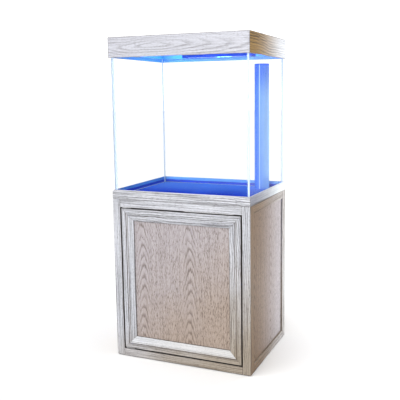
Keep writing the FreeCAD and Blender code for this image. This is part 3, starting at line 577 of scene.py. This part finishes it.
def moulded(name, light, dark, roughness, texture_scale, depth, metallic=0.0, coat=0.0):
    """Plastic or rubber from a mould: fine spark texture, faint flow marks and scuffs."""
    g = Graph(name)
    texture = g.noise(g.point, texture_scale, 3.0, 0.6)
    flow = g.noise(g.point, 22.0, 3.0)
    scuff = g.ease(g.noise(g.stretched_point((300.0, 40.0, 90.0)), 1.0, 2.0), 0.68, 0.78)
    colour = g.mix(flow, light, dark)
    colour = g.mix(g.times(scuff, 0.22), colour, rgb(0.5, 0.5, 0.52))
    return g.finish(
        g.surface(
            Base_Color=colour,
            Roughness=g.math("ADD", g.scaled(texture, 0.18, roughness - 0.09), g.times(scuff, 0.15)),
            Normal=g.bump(texture, depth, 0.6),
            Metallic=metallic,
            Coat_Weight=coat,
        )
    )


def brushed(name, light, dark, axis):
    """Brushed metal: long fine scratches along one axis, and a few fingerprints."""
    g = Graph(name)
    scale = [1400.0, 1400.0, 1400.0]
    scale[axis] = 25.0
    scratch = g.noise(g.stretched_point(tuple(scale)), 1.0, 3.0, 0.6)
    print_mark = g.ease(g.noise(g.point, 65.0, 2.0), 0.55, 0.7)
    return g.finish(
        g.surface(
            Base_Color=g.mix(scratch, light, dark),
            Metallic=1.0,
            Roughness=g.math("ADD", g.scaled(scratch, 0.2, 0.22), g.times(print_mark, 0.1)),
            Normal=g.bump(scratch, 0.00004, 0.5),
        )
    )


def porous(name, light, dark, scale, depth, roughness):
    """Open-cell foam or sintered ceramic, darker in its pores."""
    g = Graph(name)
    pit = g.ease(g.cells(g.point, scale), 0.15, 0.55)
    grit = g.noise(g.point, scale * 3.0, 3.0)
    stain = g.noise(g.point, 14.0, 3.0)
    colour = g.mix(pit, dark, light)
    colour = g.mix(g.ease(stain, 0.45, 0.75, 0.0, 0.35), colour, dark)
    height = g.scaled(grit, 0.3, pit)
    return g.finish(
        g.surface(
            Base_Color=colour,
            Roughness=g.scaled(grit, 0.15, roughness),
            Normal=g.bump(height, depth, 0.8),
        )
    )


def silicone(name):
    """Clear sealant, all but invisible on glass, with the ripples that a smoothing tool leaves."""
    g = Graph(name)
    ripple = g.noise(g.point, 120.0, 3.0)
    return g.finish(
        g.surface(
            Base_Color=g.mix(ripple, rgb(0.30, 0.56, 0.92), rgb(0.45, 0.70, 0.96)),
            Roughness=g.scaled(ripple, 0.2, 0.2),
            Alpha=g.scaled(ripple, 0.10, 0.04),
            Specular_IOR_Level=0.2,
            Normal=g.bump(ripple, 0.0005, 0.4),
        )
    )


LED_PITCH = 20 * MM
WHITE_LEDS = (39 * MM, 109 * MM)  # the ends of the paler stretch, and how softly it starts
WHITE_BLUR = 8 * MM


def lens(name):
    """Frosted diffuser. Two rows of LEDs glow through it, blue except for one paler stretch."""
    g = Graph(name)
    low, high = BOX["light_lens"]
    x, y, _ = g.axes()
    row = g.math("DIVIDE", g.minus(y, low.y), (high.y - low.y) / 2)
    column = g.math("DIVIDE", g.minus(x, low.x), LED_PITCH)
    offsets = [g.minus(g.math("FRACT", value), 0.5) for value in (row, column)]
    squares = [g.times(value, value) for value in offsets]
    spot = g.ease(g.math("SQRT", g.math("ADD", *squares)), 0.05, 0.42, 1.0, 0.0)
    rise = g.ease(x, WHITE_LEDS[0] - WHITE_BLUR, WHITE_LEDS[0] + WHITE_BLUR)
    fall = g.ease(x, WHITE_LEDS[1] - WHITE_BLUR, WHITE_LEDS[1] + WHITE_BLUR, 1.0, 0.0)
    white = g.times(rise, fall)
    colour = g.mix(white, rgb(0.03, 0.14, 1.0), rgb(0.30, 0.95, 0.80))
    strength = g.scaled(spot, 7.0, g.scaled(white, 1.8, 1.2))
    frost = g.noise(g.point, 900.0, 2.0)
    return g.finish(
        g.surface(
            Base_Color=g.mix(frost, rgb(0.55, 0.62, 0.78), rgb(0.70, 0.76, 0.88)),
            Roughness=g.scaled(frost, 0.2, 0.4),
            Normal=g.bump(frost, 0.0001, 0.4),
            Emission_Color=colour,
            Emission_Strength=strength,
        )
    )


def led_board(name):
    """Dark blue circuit board with faint copper tracks under the resist."""
    g = Graph(name)
    track = g.ease(g.cells(g.point, 260.0, "DISTANCE_TO_EDGE"), 0.02, 0.06, 1.0, 0.0)
    grain = g.noise(g.point, 1200.0)
    return g.finish(
        g.surface(
            Base_Color=g.mix(g.times(track, 0.5), rgb(0.010, 0.020, 0.13), rgb(0.03, 0.06, 0.25)),
            Roughness=g.scaled(grain, 0.2, 0.25),
            Normal=g.bump(track, 0.00005, 0.5),
        )
    )


X, Y, Z = range(3)
FRAME_TONES = (FRAME_TONE, FRAME_LOW, FRAME_SIDE_PAINTED_LIGHT)
PANEL_TONES = (PANEL_TONE, PANEL_LOW, PANEL_SIDE_PAINTED_LIGHT)
RIM_TONES = (FRAME_TONE, FRAME_LOW, RIM_SIDE_PAINTED_LIGHT)
HOOD_TONES = (HOOD_TONE, FRAME_LOW, HOOD_SIDE_PAINTED_LIGHT)
FRAME_SPAN = (-0.12, 0.42)
PANEL_SPAN = (0.00, 0.62)
ABOVE_SPAN = (-0.30, 0.30)

# Wooden nodes: direction of the grain, direction of the thickness, figure, tones, and span of the low tone
POST = (Z, Y, STRAIGHT, FRAME_TONES, FRAME_SPAN)
FRONT_RAIL = (X, Y, STRAIGHT, FRAME_TONES, FRAME_SPAN)
SIDE_RAIL = (Y, X, STRAIGHT, FRAME_TONES, FRAME_SPAN)
WOOD = {
    "post_front_left": POST,
    "post_front_right": POST,
    "post_back_left": POST,
    "post_back_right": POST,
    "rail_front_top": FRONT_RAIL,
    "rail_front_bottom": FRONT_RAIL,
    "rails_left": SIDE_RAIL,
    "rails_right": SIDE_RAIL,
    "rails_back": FRONT_RAIL,
    "side_panel_left": (Z, X, CATHEDRAL, PANEL_TONES, PANEL_SPAN),
    "side_panel_right": (Z, X, CATHEDRAL, PANEL_TONES, PANEL_SPAN),
    "rim_front": (X, Y, STRAIGHT, RIM_TONES, ABOVE_SPAN),
    "rim_back": (X, Y, STRAIGHT, RIM_TONES, ABOVE_SPAN),
    "rim_left": (Y, X, STRAIGHT, RIM_TONES, ABOVE_SPAN),
    "rim_right": (Y, X, STRAIGHT, RIM_TONES, ABOVE_SPAN),
    "door_stile_left": POST,
    "door_stile_right": POST,
    "door_rail_top": FRONT_RAIL,
    "door_rail_bottom": FRONT_RAIL,
    "door_panel": (Z, Y, CATHEDRAL, PANEL_TONES, PANEL_SPAN),
    "hood_front": (X, Y, FLAME, HOOD_TONES, ABOVE_SPAN),
    "hood_back": (X, Y, FLAME, HOOD_TONES, ABOVE_SPAN),
    "hood_left": (Y, X, FLAME, HOOD_TONES, ABOVE_SPAN),
    "hood_right": (Y, X, LINED, HOOD_TONES, ABOVE_SPAN),
    "hood_top": (X, Z, FLAME, HOOD_TONES, ABOVE_SPAN),
    "hood_flap": (X, Z, FLAME, HOOD_TONES, ABOVE_SPAN),
}


def make_materials():
    """One material for each wooden board, and one for each other slot."""
    made = {}
    for number, (node, (grain, thick, figure, tones, span)) in enumerate(WOOD.items()):
        made[node] = oak(
            f"oak_{node}", grain, thick, figure, tones, span, 100 + number, BOX[node], marks_of(node)
        )
    made.update(
        base_panel=plywood("birch_plywood_base", BOX["base_panel"]),
        top_panel=plywood("birch_plywood_top", BOX["top_panel"]),
        hardboard=hardboard("brown_hardboard"),
        glass=clear("clear_glass", rgb(0.992, 0.998, 0.998), 1.08, 0.0, 6.0, rgb(0.97, 0.99, 0.99)),
        clear_acrylic=clear(
            "clear_acrylic", rgb(0.93, 0.97, 0.985), 1.10, 0.01, 12.0, rgb(0.90, 0.95, 0.97)
        ),
        blue_glass=floor_glass("blue_floor_glass"),
        blue_acrylic=blue_tube("blue_acrylic_tube"),
        rim_film=rim_film("blue_rim_film"),
        # The last value of each sheet edge is the strength of its painted glow.
        glass_edge=sheet_edge("polished_glass_edge", rgb(0.62, 0.75, 0.87), rgb(0.72, 0.83, 0.93), 0.16),
        acrylic_edge=sheet_edge("polished_acrylic_edge", rgb(0.42, 0.50, 0.54), rgb(0.58, 0.66, 0.70), 0.02),
        # Painted light: the blue that the hood's LEDs cast on its inner faces.
        hood_lining=moulded(
            "blue_hood_lining", rgb(0.20, 0.47, 0.84), rgb(0.15, 0.40, 0.76), 0.45, 600.0, 0.0001
        ),
        silicone=silicone("clear_silicone"),
        foam_mat=porous("blue_foam_mat", rgb(0.03, 0.06, 0.25), rgb(0.012, 0.02, 0.10), 900.0, 0.0002, 0.8),
        sponge=porous("blue_sponge", rgb(0.06, 0.16, 0.38), rgb(0.01, 0.03, 0.10), 420.0, 0.0012, 0.85),
        bio_ceramic=porous(
            "porous_ceramic", rgb(0.76, 0.71, 0.60), rgb(0.36, 0.29, 0.20), 350.0, 0.0009, 0.8
        ),
        pipe_plastic=moulded("grey_pipe", rgb(0.30, 0.32, 0.34), rgb(0.24, 0.26, 0.28), 0.45, 500.0, 0.0001),
        fitting_plastic=moulded(
            "dark_fitting", rgb(0.030, 0.032, 0.036), rgb(0.018, 0.019, 0.022), 0.5, 800.0, 0.0002
        ),
        pump_plastic=moulded(
            "pump_case", rgb(0.012, 0.014, 0.018), rgb(0.02, 0.023, 0.03), 0.3, 900.0, 0.0001, coat=0.4
        ),
        impeller_plastic=moulded(
            "pale_rotor", rgb(0.55, 0.56, 0.58), rgb(0.48, 0.49, 0.50), 0.45, 700.0, 0.0001
        ),
        black_plastic=moulded(
            "black_plastic", rgb(0.022, 0.022, 0.025), rgb(0.014, 0.014, 0.016), 0.5, 900.0, 0.0002
        ),
        light_aluminium=moulded(
            "blue_anodised", rgb(0.002, 0.08, 0.60), rgb(0.002, 0.055, 0.48),
            0.55, 1100.0, 0.0001, metallic=0.2,
        ),
        shaft_ceramic=moulded(
            "white_ceramic", rgb(0.82, 0.81, 0.78), rgb(0.76, 0.75, 0.72), 0.16, 900.0, 0.00003, coat=0.5
        ),
        steel=brushed("brushed_steel", rgb(0.60, 0.60, 0.61), rgb(0.42, 0.42, 0.43), X),
        lens=lens("frosted_lens"),
        led_board=led_board("led_board"),
        led=moulded(
            "led_package", rgb(0.75, 0.72, 0.45), rgb(0.80, 0.78, 0.55), 0.25, 900.0, 0.00005, coat=0.6
        ),
    )
    return made


MATERIALS = make_materials()


# Pieces

def placed(name, mesh_maker, body, material, replaces=()):
    """A new piece from a filled bmesh, riding on its body."""
    mesh = bpy.data.meshes.new(name)
    mesh_maker.to_mesh(mesh)
    mesh_maker.free()
    piece = bpy.data.objects.new(name, mesh)
    bpy.context.scene.collection.objects.link(piece)
    mesh.materials.append(material)
    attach(piece, body)
    if replaces:
        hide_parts(*replaces)
    return piece


def shade(piece, angle=35.0):
    """Smooth shading that stays crisp at hard edges and flat on flat faces."""
    for face in piece.data.polygons:
        face.use_smooth = True
    piece.data.set_sharp_from_angle(angle=math.radians(angle))
    weighted = piece.modifiers.new("even_normals", "WEIGHTED_NORMAL")
    weighted.keep_sharp = True


def welded(node):
    """The CAD node's surface with whole faces in place of triangles."""
    made = bmesh.new()
    made.from_mesh(frame["nodes"][node].data)
    bmesh.ops.remove_doubles(made, verts=made.verts, dist=1e-6)
    bmesh.ops.dissolve_limit(made, angle_limit=math.radians(0.6), verts=made.verts, edges=made.edges)
    return made


def eased_edges(made, width, segments=3, angle=40.0):
    """Rounds every edge that is sharper than angle."""
    sharp = [
        e for e in made.edges
        if len(e.link_faces) == 2 and e.calc_face_angle() > math.radians(angle)
    ]
    bmesh.ops.bevel(
        made, geom=sharp, offset=width, segments=segments, profile=0.5, affect="EDGES", clamp_overlap=True
    )


def in_place_of(node, made):
    """The piece that replaces a CAD node. Its material is the node's own, or else its slot's."""
    material = MATERIALS.get(node) or MATERIALS[SLOT_OF[node]]
    return placed(f"{node}_made", made, BODY_OF[node], material, [node])


def refined(node):
    """A CAD node with eased edges."""
    made = welded(node)
    eased_edges(made, EASE[SLOT_OF[node]])
    shade(in_place_of(node, made))


def line_inner_faces(inward, material):
    """Gives the inner faces of boards a material of their own."""
    for node, way in inward.items():
        piece = bpy.data.objects[f"{node}_made"]
        piece.data.materials.append(MATERIALS[material])
        for face in piece.data.polygons:
            if face.normal.dot(way) > 0.9:
                face.material_index = 1


def rim_film_and_hood_light():
    """A blue film on the rim boards, which show through the glass, and painted blue light on the inner faces
    of the hood.
    """
    rims = {
        "rim_left": Vector((1, 0, 0)),
        "rim_right": Vector((-1, 0, 0)),
        "rim_front": Vector((0, 1, 0)),
        "rim_back": Vector((0, -1, 0)),
    }
    line_inner_faces(rims, "rim_film")
    hood = {node.replace("rim_", "hood_"): way for node, way in rims.items()}
    hood["hood_top"] = Vector((0, 0, -1))
    hood["hood_flap"] = Vector((0, 0, -1))
    line_inner_faces(hood, "hood_lining")


SHEET_THICK = 7.5 * MM          # above the thickness of every sheet of the sump
PANE_JOINT = 0.15 * MM          # the clearance under the sump, and the sealant that parts the tank's panes


def sump_edges():
    """Makes the sump's bottom sheet and all narrow faces pale, and lifts its foot clear of the base panel.

    Its glued sheets share edges, where averaged normals would be wrong, so it is shaded flat.
    """
    piece = bpy.data.objects["sump_panels_made"]
    foot = BOX["sump_panels"][0].z
    for vert in piece.data.vertices:
        vert.co.z = max(vert.co.z, foot + PANE_JOINT)
    piece.data.materials.append(MATERIALS["acrylic_edge"])
    piece.data.shade_flat()
    for face in piece.data.polygons:
        corners = [piece.data.vertices[index].co for index in face.vertices]
        reach = sorted(max(c[axis] for c in corners) - min(c[axis] for c in corners) for axis in range(3))
        if reach[1] < SHEET_THICK or max(c.z for c in corners) < foot + SHEET_THICK:
            face.material_index = 1


# How far the edges of each slot's nodes are eased
EASE = {
    "oak": 0.60 * MM,
    "oak_panel": 0.40 * MM,
    "plywood": 0.40 * MM,
    "hardboard": 0.30 * MM,
    "glass": 0.80 * MM,
    "blue_glass": 0.60 * MM,
    "clear_acrylic": 0.40 * MM,
    "black_plastic": 0.50 * MM,
    "foam_mat": 0.50 * MM,
    "light_aluminium": 0.40 * MM,
    "steel": 0.15 * MM,
    "pump_plastic": 0.80 * MM,
    "fitting_plastic": 0.50 * MM,
    "pipe_plastic": 0.30 * MM,
    "blue_acrylic": 0.40 * MM,
    "impeller_plastic": 0.30 * MM,
    "shaft_ceramic": 0.20 * MM,
}
OWN_SHAPE = ("filter_sponge", "bio_media", "light_lens", "silicone_seams")
PANES = ("glass_front", "glass_back", "glass_left", "glass_right")


def pane(node):
    """A wall of the tank with a chamfered rim, polished edges, and sealant's thickness at its joints."""
    made = welded(node)
    low, high = BOX[node]
    across = min(range(2), key=lambda axis: high[axis] - low[axis])
    middle = (low + high) / 2
    for vert in made.verts:
        if across == 0:
            vert.co.y += math.copysign(PANE_JOINT, middle.y - vert.co.y)
        if vert.co.z < middle.z:
            vert.co.z += PANE_JOINT
    eased_edges(made, EASE["glass"], 2)
    piece = in_place_of(node, made)
    piece.data.materials.append(MATERIALS["glass_edge"])
    for face in piece.data.polygons:
        if abs(face.normal[across]) < 0.9:
            face.material_index = 1
    shade(piece)


def pitted(node, cell, depth, seed):
    """A porous block: its surface is cut to a grid, and the points are pushed in by noise."""
    made = welded(node)
    low, high = BOX[node]
    for axis in range(3):
        way = Vector([float(axis == n) for n in range(3)])
        steps = int((high[axis] - low[axis]) / cell)
        for step in range(1, steps):
            place = low.copy()
            place[axis] += step * (high[axis] - low[axis]) / steps
            parts = made.verts[:] + made.edges[:] + made.faces[:]
            bmesh.ops.bisect_plane(made, geom=parts, plane_co=place, plane_no=way, dist=1e-6)
    made.normal_update()
    shift = Vector((seed, seed * 0.37, 0.0))
    for vert in made.verts:
        pit = max(0.0, noise.noise(vert.co / (cell * 1.3) + shift))
        vert.co -= vert.normal * depth * (pit + 0.35 * (noise.noise(vert.co / cell * 2.1 - shift) + 1.0))
    for face in in_place_of(node, made).data.polygons:
        face.use_smooth = True


def sealant():
    """Silicone beads, shaded smooth along their length."""
    piece = in_place_of("silicone_seams", welded("silicone_seams"))
    for face in piece.data.polygons:
        face.use_smooth = True
    piece.data.set_sharp_from_angle(angle=math.radians(50))


RIB_WIDTH = 2.2 * MM
RIB_HEIGHT = 0.7 * MM


def ribbed_lens():
    """A diffuser with fine prisms along its underside."""
    low, high = BOX["light_lens"]
    count = int((high.y - low.y) / RIB_WIDTH)
    pitch = (high.y - low.y) / count
    made = bmesh.new()
    section = [(low.y, high.z)]
    for number in range(count):
        start = low.y + number * pitch
        section.append((start, low.z + RIB_HEIGHT))
        section.append((start + pitch / 2, low.z))
    section += [(high.y, low.z + RIB_HEIGHT), (high.y, high.z)]
    ends = [[made.verts.new((x, y, z)) for y, z in section] for x in (low.x, high.x)]
    for index in range(len(section)):
        after = (index + 1) % len(section)
        made.faces.new((ends[0][index], ends[0][after], ends[1][after], ends[1][index]))
    made.faces.new(ends[0][::-1])
    made.faces.new(ends[1])
    bmesh.ops.recalc_face_normals(made, faces=made.faces)
    in_place_of("light_lens", made)


def slab(made, low, high, ease=0.0002):
    """Adds a box with eased edges."""
    fresh = bmesh.new()
    bmesh.ops.create_cube(fresh, size=1.0)
    low, high = Vector(low), Vector(high)
    for vert in fresh.verts:
        vert.co = Vector([low[i] + (high[i] - low[i]) * (vert.co[i] + 0.5) for i in range(3)])
    bmesh.ops.bevel(fresh, geom=fresh.edges[:], offset=ease, segments=2, affect="EDGES", clamp_overlap=True)
    join(made, fresh)


def join(made, fresh, matrix=Matrix.Identity(4)):
    """Moves a small bmesh into place and adds it to a larger one."""
    bmesh.ops.transform(fresh, matrix=matrix, verts=fresh.verts)
    spare = bpy.data.meshes.new("spare")
    fresh.to_mesh(spare)
    fresh.free()
    made.from_mesh(spare)
    bpy.data.meshes.remove(spare)


def aimed(place, way):
    """A matrix that stands a shape drawn along +Z at place, pointing along way."""
    return Matrix.Translation(Vector(place)) @ Vector(way).to_track_quat("Z", "Y").to_matrix().to_4x4()


def screw_head(radius, height, turn):
    """A low domed head with a cross recess, drawn on z 0 and upwards."""
    made = bmesh.new()
    steps = 48
    arm = radius * 0.62
    slot_width = radius * 0.15

    def cross(angle):
        return min(arm, slot_width / max(1e-6, min(abs(math.sin(angle)), abs(math.cos(angle)))))

    loops = [
        (lambda a: radius, 0.0),
        (lambda a: radius, height * 0.35),
        (lambda a: radius * 0.88, height * 0.80),
        (lambda a: radius * 0.70, height),
        (cross, height),
        (lambda a: cross(a) * 0.85, height * 0.35),
    ]
    circles = []
    for reach, level in loops:
        circle = []
        for step in range(steps):
            angle = 2 * math.pi * step / steps
            x = reach(angle) * math.cos(angle + turn)
            y = reach(angle) * math.sin(angle + turn)
            circle.append(made.verts.new((x, y, level)))
        circles.append(circle)
    for lower, upper in zip(circles, circles[1:]):
        for step in range(steps):
            after = (step + 1) % steps
            made.faces.new((lower[step], lower[after], upper[after], upper[step]))
    made.faces.new(circles[-1])
    made.faces.new(circles[0][::-1])
    return made


def screws(name, places, way, radius, height, body, seed):
    """A set of like screws, each with its recess at its own angle."""
    rng = random.Random(seed)
    made = bmesh.new()
    for place in places:
        join(made, screw_head(radius, height, rng.uniform(0, math.pi)), aimed(place, way))
    bmesh.ops.recalc_face_normals(made, faces=made.faces)
    shade(placed(name, made, body, MATERIALS["steel"]), 30)


def hinge_screws():
    """Three screws on each leaf of the two flap hinges."""
    low, high = BOX["flap_hinges_fixed"]
    far = BOX["flap_hinges_moving"]
    leaf_top = BOX["hood_top"][1].z + 1.2 * MM
    length = 50 * MM
    middles = (low.x + length / 2, high.x - length / 2)
    offsets = (-17 * MM, 0.0, 17 * MM)
    fixed_y = high.y - 7 * MM
    moving_y = far[0].y + 7 * MM
    for name, y, body in (("fixed", fixed_y, "hood"), ("moving", moving_y, "flap")):
        places = [(x + offset, y, leaf_top) for x in middles for offset in offsets]
        screws(f"hinge_screws_{name}", places, (0, 0, 1), 2.6 * MM, 1.0 * MM, body, 7)


def bracket_screws():
    """Two screws through each foot of the light's brackets."""
    low, high = BOX["light_brackets"]
    width = 20 * MM
    foot = 3 * MM
    middles = (low.x + width / 2, high.x - width / 2)
    upper = [(x + side * 5 * MM, high.y - 8 * MM, high.z - foot) for x in middles for side in (-1, 1)]
    lower = [(x + side * 5 * MM, low.y + 8 * MM, low.z + foot) for x in middles for side in (-1, 1)]
    screws("bracket_screws_upper", upper, (0, 0, -1), 2.8 * MM, 1.5 * MM, "hood", 11)
    screws("bracket_screws_lower", lower, (0, 0, 1), 2.8 * MM, 1.5 * MM, "hood", 12)


def plate_screws():
    """Two screws in each pivot plate, and two in the strike plate."""
    low, high = BOX["pivot_plates"]
    plate = 3 * MM
    y = (low.y + high.y) / 2
    columns = (high.x - 6 * MM, high.x - 19 * MM)
    lower = [(x, y, low.z + plate) for x in columns]
    upper = [(x, y, high.z - plate) for x in columns]
    screws("plate_screws_lower", lower, (0, 0, 1), 2.4 * MM, 0.8 * MM, "cabinet", 3)
    screws("plate_screws_upper", upper, (0, 0, -1), 2.4 * MM, 0.8 * MM, "cabinet", 4)
    low, high = BOX["strike_plate"]
    middle = (low + high) / 2
    ends = [(middle.x, high.y, middle.z + side * 14 * MM) for side in (-1, 1)]
    screws("strike_screws", ends, (0, 1, 0), 2.2 * MM, 0.12 * MM, "door", 5)


def catch_poles():
    """Two steel pole plates in the face of the magnetic catch, and its two screws."""
    low, high = BOX["door_catch"]
    middle = (low + high) / 2
    made = bmesh.new()
    for side in (-1, 1):
        x = middle.x + side * 3 * MM
        near_corner = (x - 0.8 * MM, low.y - 0.12 * MM, low.z + 9 * MM)
        far_corner = (x + 0.8 * MM, low.y + 3 * MM, high.z - 9 * MM)
        slab(made, near_corner, far_corner)
    shade(placed("catch_poles", made, "cabinet", MATERIALS["steel"]))
    places = [(low.x, middle.y, middle.z + side * 18 * MM) for side in (-1, 1)]
    screws("catch_screws", places, (-1, 0, 0), 2.3 * MM, 0.9 * MM, "cabinet", 6)


def leds():
    """The circuit board in the light's channel and its two rows of LEDs."""
    low, high = BOX["light_lens"]
    gap = 0.6 * MM
    top = BOX["light_housing"][0].z + 8 * MM
    made = bmesh.new()
    slab(made, (low.x + gap, low.y + gap, top - 1.2 * MM), (high.x - gap, high.y - gap, top - 0.02 * MM))
    shade(placed("led_board", made, "hood", MATERIALS["led_board"]))
    made = bmesh.new()
    half = 1.75 * MM
    columns = int((high.x - low.x) / LED_PITCH)
    for row in (0.25, 0.75):
        y = low.y + (high.y - low.y) * row
        for column in range(columns):
            x = low.x + (column + 0.5) * LED_PITCH
            slab(made, (x - half, y - half, top - 2.0 * MM), (x + half, y + half, top - 1.2 * MM))
            dome = bmesh.new()
            bmesh.ops.create_uvsphere(dome, u_segments=16, v_segments=8, radius=1.2 * MM)
            flat = Matrix.Diagonal((1.0, 1.0, 0.35, 1.0))
            join(made, dome, Matrix.Translation((x, y, top - 2.0 * MM)) @ flat)
    shade(placed("leds", made, "hood", MATERIALS["led"]))


def build_pieces():
    for node in frame["nodes"]:
        if node in PANES:
            pane(node)
        elif node not in OWN_SHAPE:
            refined(node)
    rim_film_and_hood_light()
    sump_edges()
    pitted("filter_sponge", 0.0030, 0.0011, 3.1)
    pitted("bio_media", 0.0036, 0.0010, 8.3)
    sealant()
    ribbed_lens()
    hinge_screws()
    bracket_screws()
    plate_screws()
    catch_poles()
    leds()


build_pieces()


# Floor, light and camera

def floor():
    g = Graph("studio_floor")
    grain = g.noise(g.point, 3.0, 3.0)
    paint = g.surface(
        Base_Color=g.mix(grain, rgb(0.955, 0.955, 0.955), rgb(0.975, 0.975, 0.975)),
        Roughness=g.scaled(grain, 0.1, 0.8),
        Specular_IOR_Level=0.1,
    )
    reach = 40.0
    mesh = bpy.data.meshes.new("studio_floor")
    corners = [(-reach, -reach, 0), (reach, -reach, 0), (reach, reach, 0), (-reach, reach, 0)]
    mesh.from_pydata(corners, [], [(0, 1, 2, 3)])
    mesh.materials.append(g.finish(paint))
    piece = bpy.data.objects.new("studio_floor", mesh)
    bpy.context.scene.collection.objects.link(piece)


def lamp(name, kind, place, target, power, colour=(1.0, 1.0, 1.0), glossy=False, **settings):
    """A light at place that points at target. A glossy one shows only as a highlight."""
    data = bpy.data.lights.new(name, kind)
    data.energy = power
    data.color = colour
    for key, value in settings.items():
        setattr(data, key, value)
    light = bpy.data.objects.new(name, data)
    bpy.context.scene.collection.objects.link(light)
    light.location = place
    light.rotation_mode = "QUATERNION"
    light.rotation_quaternion = (Vector(target) - Vector(place)).to_track_quat("-Z", "Y")
    light.visible_camera = False
    light.visible_transmission = False
    light.visible_glossy = glossy
    light.visible_diffuse = not glossy
    return light


SKY_SEEN = 1.30                 # strength of the surround where it is seen
SKY_LIGHT = 0.62                # strength of the light that it casts


def studio():
    """An even white surround, a soft key from the front left, and a strip from behind on the right.

    Shadow rays pass glass, so the light that comes through it is already counted. A scattered ray that goes
    through glass therefore finds the surround dark.
    """
    g = Graph("studio", bpy.data.worlds)
    path = g.node("ShaderNodeLightPath").outputs
    scattered = g.math("GREATER_THAN", path["Diffuse Depth"], 0.5)
    counted = g.times(scattered, path["Is Transmission Ray"])
    seen = g.math("MAXIMUM", path["Is Camera Ray"], path["Is Transmission Ray"])
    strength = g.times(g.scaled(seen, SKY_SEEN - SKY_LIGHT, SKY_LIGHT), g.minus(1.0, counted))
    surround = g.node("ShaderNodeBackground", {"Color": rgb(1.0, 1.0, 1.0), "Strength": strength})
    bpy.context.scene.world = g.finish(surround.outputs[0], "ShaderNodeOutputWorld")

    lamp("key", "SUN", (-2.0, -3.0, 4.0), (0, 0, 0.6), 2.3, angle=math.radians(80))
    lamp(
        "side_strip", "AREA", (1.05, 1.05, 1.0), (0.31, 0.15, 0.75), 14.0,
        shape="RECTANGLE", size=0.35, size_y=1.9,
    )
    lamp(
        "highlight_strip", "AREA", (-0.35, -3.6, 1.3), (0.2, 0.18, 1.0), 150.0,
        glossy=True, shape="RECTANGLE", size=0.45, size_y=2.2,
    )


GLOW_PLACES = ((-0.20, 0.06), (-0.20, 0.17), (0.02, 0.17), (0.20, 0.17), (0.05, -0.08))
GLOW_POWER = 0.40
GLOW_COLOUR = (0.06, 0.34, 1.0)


def hood_glow():
    """Blue light scattered inside the hood. It rides on the hood."""
    level = BOX["light_housing"][1].z + 20 * MM
    for number, (x, y) in enumerate(GLOW_PLACES):
        place = (x, y, level)
        target = (x, y, 0.0)
        glow = lamp(f"glow_{number}", "POINT", place, target, GLOW_POWER, GLOW_COLOUR, shadow_soft_size=0.024)
        glow.parent = frame["bodies"]["hood"]


CAMERA_PLACE = (1.102, -2.473, 1.126)
CAMERA_YAW = 22.33              # degrees
CAMERA_PITCH = 7.79
CAMERA_ROLL = -0.57
CAMERA_LENS = 55.82             # millimetres, on a 36 mm sensor
CAMERA_SHIFT = (-0.05, -0.05)


def camera():
    data = bpy.data.cameras.new("camera")
    data.sensor_width = 36.0
    data.lens = CAMERA_LENS
    data.shift_x, data.shift_y = CAMERA_SHIFT
    eye = bpy.data.objects.new("camera", data)
    bpy.context.scene.collection.objects.link(eye)
    turn = Matrix.Rotation(math.radians(CAMERA_YAW), 4, "Z")
    tip = Matrix.Rotation(math.radians(90 - CAMERA_PITCH), 4, "X")
    roll = Matrix.Rotation(math.radians(CAMERA_ROLL), 4, "Z")
    eye.matrix_world = Matrix.Translation(CAMERA_PLACE) @ turn @ tip @ roll
    bpy.context.scene.camera = eye


floor()
studio()
hood_glow()
camera()
bpy.context.scene.view_settings.view_transform = "Standard"
